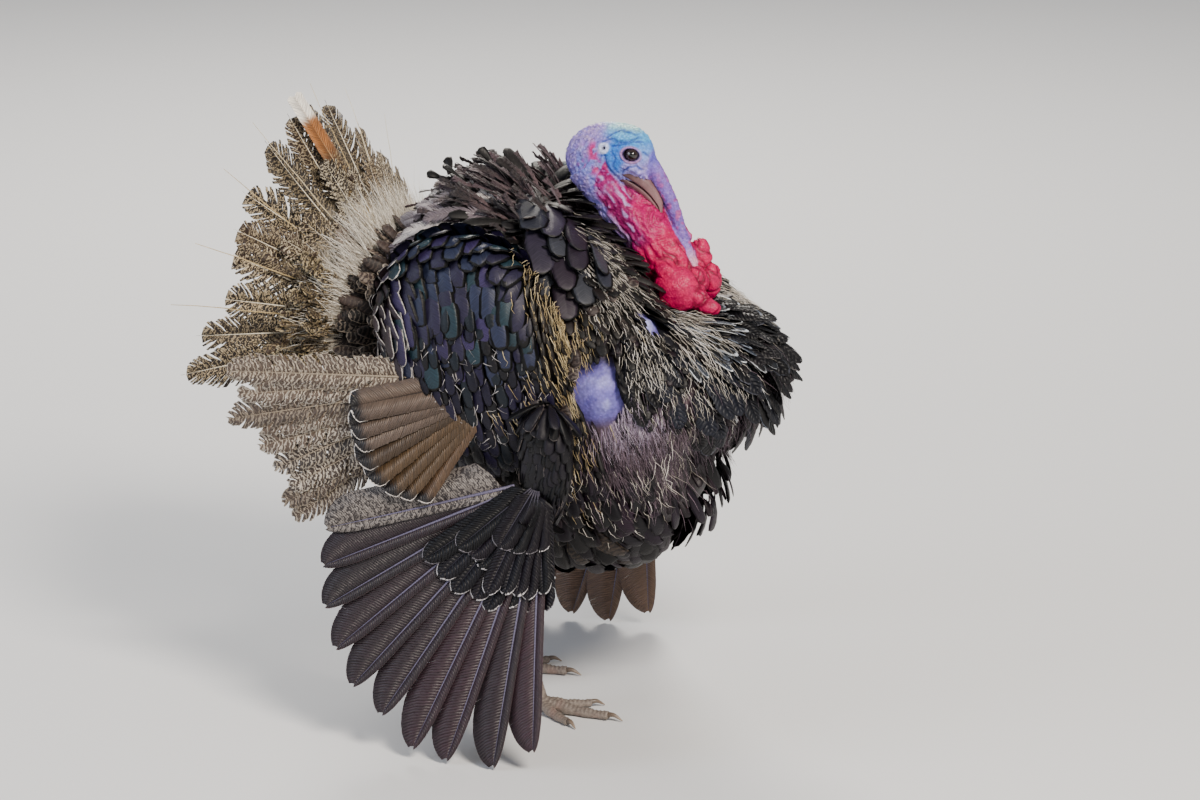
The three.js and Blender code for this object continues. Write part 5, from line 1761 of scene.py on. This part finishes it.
def fan(seat, splay, angle, inner, tip, left, right, side, roll, **make):
    """One long feather at each angle, from `inner` to `tip` mm out from the fan's seat."""
    flat = barbed(tip - inner, left, right, **make)
    heading, before, after = (
        wing_heading(angle + step, splay(angle + step), side) for step in (0, -0.02, 0.02))
    out = unit(np.cross(heading, after - before))
    out = out * np.sign(out[:, 1:2]) * side
    return lay(
        flat, seat + heading * inner, heading, out, 0.0, 0.0, roll * side, rng.normal(0, 0.012, len(angle)))


def tip_fringed(batch, start):
    """Leaves the fringe only round the feather's tip, past the share `start` of its length."""
    batch["fringe"][..., 3] *= smooth(start - 0.06, start + 0.02, share_along(batch))
    return batch


def banded(batch, colour, start, stop):
    """Turns each feather to one colour from a share of its length on, softly between `start` and `stop`."""
    inside = smooth(start, stop, share_along(batch))
    batch["ground"][..., :3] += (paint(colour)[:3] - batch["ground"][..., :3]) * inside[..., None]
    batch["ground"][..., 3] *= 1 - inside
    return batch


def steady(degrees):
    """The same splay at every angle of a fan."""
    return lambda angle: np.radians(degrees) + 0 * angle


PRIMARY_TIPS = np.array([284, 306, 314, 318, 306, 303, 290, 274, 256, 240], float)
BRONZE_TIPS = np.array([150.0, 158, 164, 168, 166, 160, 158, 152])
PRIMARY_COVERTS = [  # count, first and last angle, tip, half width, distance from the body
    (8, -84, -142, 152, 13, 5),
    (7, -86, -138, 112, 13, 8),
    (5, -84, -112, 132, 11, 11),
    (4, -86, -118, 80, 14, 13),
]


def primaries_of(side):
    """Ten, narrow in front of the shaft; the last is pale and barred, like the secondaries beside it."""
    first, step = math.radians(-88) + SWING[side], math.radians(-8.4)
    angle = first + step * np.arange(10)
    left, right = (10.0, 32.0) if side < 0 else (32.0, 10.0)
    laid = fan(
        WRISTS[side] + [0, 2.0 * side, 0], lambda a: np.radians(14 - 5 * (a - first) / (step * 10)), angle,
        30, PRIMARY_TIPS - 1, left, right, side, 0.10, clumps=80, sweep=0.75, rag=0.006, split=0.0003,
        shaft=2.0, pinch=0.04, outline=lambda v: blunt(v, 0.12, 0.8))
    ground = mixed(10, "#33232f", "#402b37", "#291d28", spread_of=0.1)
    ground[9] = paint("#8d8783")
    bars = np.where(np.arange(10) > 8, 0.9, 0.12)
    fringe = mixed(10, "#5a464a")
    fringe[9] = paint("#3a3233")
    return coloured(laid, ground, fringe, bars, 0.5, "#77738a", "#7a6454")


def primary_coverts_of(side):
    rows = []
    for count, start, end, tip, wide, rise in PRIMARY_COVERTS:
        angle = np.radians(np.linspace(start, end, count)) + SWING[side]
        tips = tip * np.linspace(0.9, 1, count) * rng.uniform(0.96, 1.04, count)
        row = fan(
            WRISTS[side] + [0, side * rise, 0], steady(12.0), angle, 10, tips, wide, wide, side, 0.12,
            clumps=30, rag=0.02, split=0.003, shaft=1.0)
        row = coloured(
            row, ("#14131c", "#1c1a26", "#221a26"), ("#cfcccd", "#8f8b90"), 0.0, 0.8, "#55525f", "#4c3d38")
        rows.append(tip_fringed(row, 0.93))
    return rows


def secondaries_of(side):
    angle = np.radians(np.linspace(-142, -178, 9) + rng.normal(0, 0.8, 9))
    tips = (262 + 30 * np.sin((math.radians(-143) - angle) * 2.2)) * rng.uniform(0.93, 1.03, 9)
    laid = fan(
        ELBOW * [1, side, 1] + [0, side * -12, 0], steady(4.5), angle, 60, tips, 15, 19, side, 0.2,
        clumps=62, sweep=0.8, rag=0.10, split=0.008, wear=0.05, shaft=1.7,
        outline=lambda v: blunt(v, 0.12, 0.8))
    return coloured(
        laid, ("#5d5047", "#6e6055", "#4a403a"), ("#b3a99b", "#c2b9ac", "#9c9183"), 0.9, 0.8, "#a89c8c",
        "#8a7c70")


def bronze_of(side):
    """Bronze greater coverts with a dark band before the pale tip; the inner three are greyer."""
    angle = np.radians(np.linspace(-119, -167, 8))
    laid = fan(
        ELBOW * [1, side, 1] + [0, side * -26, 0], steady(19.5), angle, 34, BRONZE_TIPS, 18, 16, side,
        0.22, clumps=44, rag=0.015, split=0.002, shaft=1.1, outline=lambda v: blunt(v, 0.12, 0.93),
        pinch=0.05)
    ground = mixed(8, "#66543f", "#6f5a46", "#5d4e3f")
    ground[5:] = mixed(3, "#6e6056", "#786a60")
    laid = coloured(laid, ground, ("#e6e0da",), 0.0, 0.9, "#3c2f28", "#6e5a4a")
    return tip_fringed(banded(laid, "#1b171e", 0.88, 0.93), 0.92)


for name, side in SIDES.items():
    coat_piece(
        f"primaries_{name}", [primaries_of(side)], flight_vane,
        [f"wing_primaries_{k}_{name}" for k in range(1, 6)])
    coat_piece(
        f"secondaries_{name}", [secondaries_of(side)], barred_vane,
        [f"wing_secondaries_{name}"])
    coat_piece(
        f"primary_coverts_{name}", primary_coverts_of(side), dark_vane,
        [f"wing_primary_coverts_{name}"])
    coat_piece(
        f"bronze_coverts_{name}", [bronze_of(side)], bronze_vane,
        [f"wing_greater_coverts_{name}"])

# %% [markdown]
# ## Tail and rump
# Eighteen long tail feathers stand in a fan on a shallow cone. They are worn: broken tips, split webs,
# bare shafts, bars faded to a pepper of cream and brown. One whole feather still has its chestnut band
# and white tip. Two rows of tail coverts, cream down and loose rump feathers hide their roots.

# %% Tail
TAIL_ROOT = np.array([-156.0, 0, 396])
TAIL_TIPS = np.array(
    [272, 255, 235, 238, 245, 255, 268, 272, 276, 268, 240, 218, 225, 238, 240, 240, 245, 250], float)
CONE = math.radians(51.6)
RISE = math.radians(10)
YAW = math.radians(-10)
TAIL_AXIS = np.array([-math.cos(RISE), 0, math.sin(RISE)])
TAIL_UP = np.array([math.sin(RISE), 0, math.cos(RISE)])
TAIL_TURN = np.array([[math.cos(YAW), -math.sin(YAW), 0], [math.sin(YAW), math.cos(YAW), 0], [0, 0, 1]])


def tail_heading(angle):
    angle = angle[..., None]
    up = TAIL_UP * np.sin(CONE) * np.cos(angle) + np.array([0, -1, 0]) * np.sin(CONE) * np.sin(angle)
    return (TAIL_AXIS * np.cos(CONE) + up) @ TAIL_TURN.T


def tail_face(angle):
    """The fan's front face: along the cone's radius, tipped towards the bird's head."""
    angle = angle[..., None]
    up = TAIL_UP * np.cos(CONE) * np.cos(angle) + np.array([0, -1, 0]) * np.cos(CONE) * np.sin(angle)
    return (up - TAIL_AXIS * np.sin(CONE)) @ TAIL_TURN.T


def tail_lay(flat, angle, inner, forward, lift=0.0, bend=0.0, roll=0.0, sway=0.03):
    face = tail_face(angle)
    root = TAIL_ROOT + tail_heading(angle) * inner + face * forward
    return lay(flat, root, tail_heading(angle), face, lift, bend, roll, rng.normal(0, sway, len(angle)))


def tail_row(
        count, sweep, inner, tips, wide, lift, ground, fringe, bars, forward, pale, pale_share, **make):
    ground, fringe = mixed(count, *ground), mixed(count, *fringe)
    angle = np.radians(np.linspace(sweep, -sweep, count) + rng.normal(0, 0.8, count))
    flat = barbed(tips - inner, wide, wide, **make)
    laid = tail_lay(flat, angle, inner, forward, lift, 0.0, 0.07 * np.where(np.arange(count) % 2, 1, -1))
    return coloured(laid, ground, fringe, bars, shaft=pale, root=pale, root_share=pale_share)


def worn(v):
    """Outline of a worn tail feather: it narrows past two thirds, to a ragged end short of the shaft's."""
    return blunt(v, 0.16, 0.66) * (v < 0.96)


fans = tail_row(
    18, 106, 78, TAIL_TIPS - 2, 23, rng.normal(0, 0.012, 18), ("#36291f", "#443428", "#2c221b"),
    ("#b5a78d", "#c2b59c", "#a3967e"), 0.9, -1, "#efe8d8", 0.36, clumps=78, rag=0.11, split=0.004,
    wear=0.08, pinch=0.12, shaft=1.7, overlap=1.5, outline=worn)
over_row = tail_row(
    18, 102, 66, 186.0 + rng.normal(0, 14, 18), 17, 0.05, ("#4a3a2d", "#3c3027", "#5c4b3c"),
    ("#bfb196", "#d0c6b0"), 0.85, 5, "#f2ecdf", 0.55, clumps=38, rag=0.16, split=0.02, wear=0.08,
    pinch=0.4, shaft=1.1)
short_row = tail_row(
    22, 110, 56, 134.0 + rng.normal(0, 10, 22), 15, 0.1, ("#8d8178", "#6d625a", "#4c433e"),
    ("#3a322d", "#c9c2b6"), 0.5, 10, "#e4ddd0", 0.6, clumps=28, rag=0.2, split=0.05, wear=0.08, pinch=0.6,
    shaft=0.9)

whole_at = np.radians([11.0])
whole = barbed(
    np.array([203.0]), 13, 13, clumps=60, rag=0.01, split=0.001, pinch=0.1, shaft=1.5,
    outline=lambda v: blunt(v, 0.3, 0.985))
whole = coloured(
    tail_lay(whole, whole_at, 82, 9.0), ("#4a3829",), ("#b8a582",), 0.9, shaft="#d8c8a8", root="#c9bb9c",
    root_share=0.3)
whole = banded(banded(whole, "#ab7a4a", 0.56, 0.70), "#f6f2ea", 0.83, 0.86)

bare_at = np.radians([-34.0, -12, 4, 30, 47, 66, 84])
bare_shafts = wisps(np.array([172.0, 182, 194, 200, 196, 190, 198]), np.full(7, 2.2), 8, 0.02, 0.0, 0.003)
bare_shafts = coloured(tail_lay(bare_shafts, bare_at, 92, 3.0, 0.03), ("#c9b58c", "#dcd0b4"), ("#c9b58c",))

n = 2600
fluff_at = np.radians(rng.uniform(-104, 100, n))
fluff = wisps(rng.uniform(34, 74, n), rng.uniform(0.7, 1.1, n), 4, 0.14, 0.01, 0.03)
fluff = tail_lay(fluff, fluff_at, 52 + 52 * rng.random((n, 1)), 26, rng.uniform(0.0, 0.25, n), -0.2)
fluff = coloured(fluff, ("#efeae0", "#dbd3c6", "#faf7f0", "#b9b0a3"), ("#cfc6b6",))

n = 70
frizz_at = np.radians(rng.uniform(62, 104, n))
frizz = barbed(
    rng.uniform(60, 120, n), 9, 9, clumps=12, sweep=1.6, rag=0.3, split=0.08, wear=0.1, pinch=0.6,
    shaft=0.8)
frizz = tail_lay(
    frizz, frizz_at, 66, 12, rng.uniform(0.02, 0.22, n), rng.normal(0, 0.3, n), rng.normal(0, 0.6, n), 0.2)
frizz = coloured(frizz, ("#3a2d25", "#54453a", "#2b221e"), ("#b3a384", "#cdbf9f"), 0.7, 0.8, "#9a8a70")

coat_piece("tail_feathers", [fans, whole], tail_vane, [f"tail_{k}" for k in range(1, 7)])
coat_piece("tail_coverts", [over_row, short_row, frizz], tail_vane)
coat_piece("tail_down", [bare_shafts, fluff], down_wisp)

# %% Rump and thighs
heading = unit(spiral(900) + rng.normal(0, 0.02, (900, 3)))
root, out = seated(rump, heading, 18.0)
inside = np.linalg.norm((root - TRUNK_CENTRE) / TRUNK_HALF, axis=1) < 0.9
keep = ~inside & ~under_wing(root, 0.9)
root, out = root[keep], out[keep]
n = len(root)
along = along_skin(np.array([-1.0, 0, 0.15]) + 0.25 * rng.normal(0, 1, (n, 3)), out)
bend = -rng.uniform(0.1, 0.5, n)
flat = vanes(rng.uniform(48, 70, n), rng.uniform(13, 20, n), ROUNDED, 0.12)
laid = lay(flat, root, along, out, 0.32 - bend / 2, bend, rng.normal(0, 0.3, n))
coat_piece(
    "rump_feathers", [coloured(laid, ("#332927", "#4a3d3a", "#1d1819"), ("#a89c8e", "#6d6159"), 0.5, 1.0)],
    body_vane)


def thigh_batch(side):
    n = 230
    t = rng.random(n) ** 0.8
    turn = rng.uniform(0, TAU, n)
    out = np.stack([np.cos(turn), np.sin(turn), 0 * turn], 1)
    root = along_route(thigh_route(side), t) + out * (44 - 32 * t)[:, None]
    along = along_skin(unit(np.array([-0.25, 0, -1.0]) + 0.3 * out), out)
    flat = vanes(30 - 12 * t, rng.uniform(11, 16, n) * (1 - 0.35 * t), ROUNDED, 0.1)
    laid = lay(flat, root, along, out, 0.2, -0.35, rng.normal(0, 0.3, n))
    return coloured(laid, ("#1c1717", "#2b2423", "#141111"), ("#6d6055", "#332b27"), 0.2, 0.8)


coat_piece("thigh_feathers", [thigh_batch(side) for side in SIDES.values()], body_vane)

# %% [markdown]
# ## Studio
# The bird stands on a wide, plain, pale floor under an even pale sky. A wide soft key light stands high
# on the camera's right, a cool fill on its left, and a rim light behind, so that the dark feathers keep
# their edges.


# %% Floor and lights
def soft_light(name, place, aim, width, watts, colour):
    lamp = bpy.data.lights.new(name, "AREA")
    lamp.shape = "DISK"
    lamp.size = width
    lamp.energy = watts
    lamp.color = paint(colour)[:3]
    stand = placed(name, lamp)
    stand.location = place
    stand.rotation_euler = (Vector(aim) - Vector(place)).to_track_quat("-Z", "Y").to_euler()
    print(name, watts, "W from", place)


FLOOR_HALF = 16.0  # metres from its middle to each side
FLOOR_HEIGHT = -0.0006  # a hair under the feet
floor_mesh = bpy.data.meshes.new("floor")
corners = [(x * FLOOR_HALF, y * FLOOR_HALF, FLOOR_HEIGHT) for x, y in ((-1, -1), (1, -1), (1, 1), (-1, 1))]
floor_mesh.from_pydata(corners, [], [(0, 1, 2, 3)])
floor = placed("floor", floor_mesh)
paper, tree = new_material("matt_floor_paper")
paper_surface = {"Base Color": paint("#dfe0e2"), "Roughness": 0.9}
node(tree, "OutputMaterial", {"Surface": node(tree, "BsdfPrincipled", paper_surface)})
floor_mesh.materials.append(paper)
soft_light("key", (2.4, -2.4, 3.2), (0.05, 0, 0.35), 1.3, 275, "#fff4e6")
soft_light("fill", (-2.9, -2.4, 1.8), (0, 0, 0.35), 2.4, 62, "#e6efff")
soft_light("rim", (-1.2, 2.8, 2.6), (0, 0, 0.4), 1.4, 120, "#fff8ee")
world = bpy.data.worlds.new("studio")
world.use_nodes = True
sky = world.node_tree.nodes["Background"].inputs
sky["Color"].default_value = paint("#eef1f5")
sky["Strength"].default_value = 0.42
bpy.context.scene.world = world

# %% [markdown]
# ## Camera
# The camera stands 6 m away, 20 degrees round towards the bird's front and 15 degrees up, with a long
# lens.

# %% Camera
CAMERA_TURN = math.radians(20)
CAMERA_RISE = math.radians(15)
CAMERA_AWAY = 6000
VIEW_WIDTH = 1296  # mm seen from side to side at the bird
RIGHT = np.array([math.cos(CAMERA_TURN), math.sin(CAMERA_TURN), 0])
LEVEL = np.array([-math.sin(CAMERA_TURN), math.cos(CAMERA_TURN), 0])
INTO = LEVEL * math.cos(CAMERA_RISE) - np.array([0, 0, math.sin(CAMERA_RISE)])
ABOVE = np.cross(RIGHT, INTO)
aim = RIGHT * 43.2 + ABOVE * 317.52
lens = bpy.data.cameras.new("camera")
lens.sensor_width = 36
lens.lens = lens.sensor_width * CAMERA_AWAY / VIEW_WIDTH
camera = placed("camera", lens)
camera.location = to_row(aim - INTO * CAMERA_AWAY)
camera.rotation_euler = Matrix((RIGHT, ABOVE, -INTO)).transposed().to_euler()
bpy.context.scene.camera = camera
print("lens", round(lens.lens, 1), "mm")
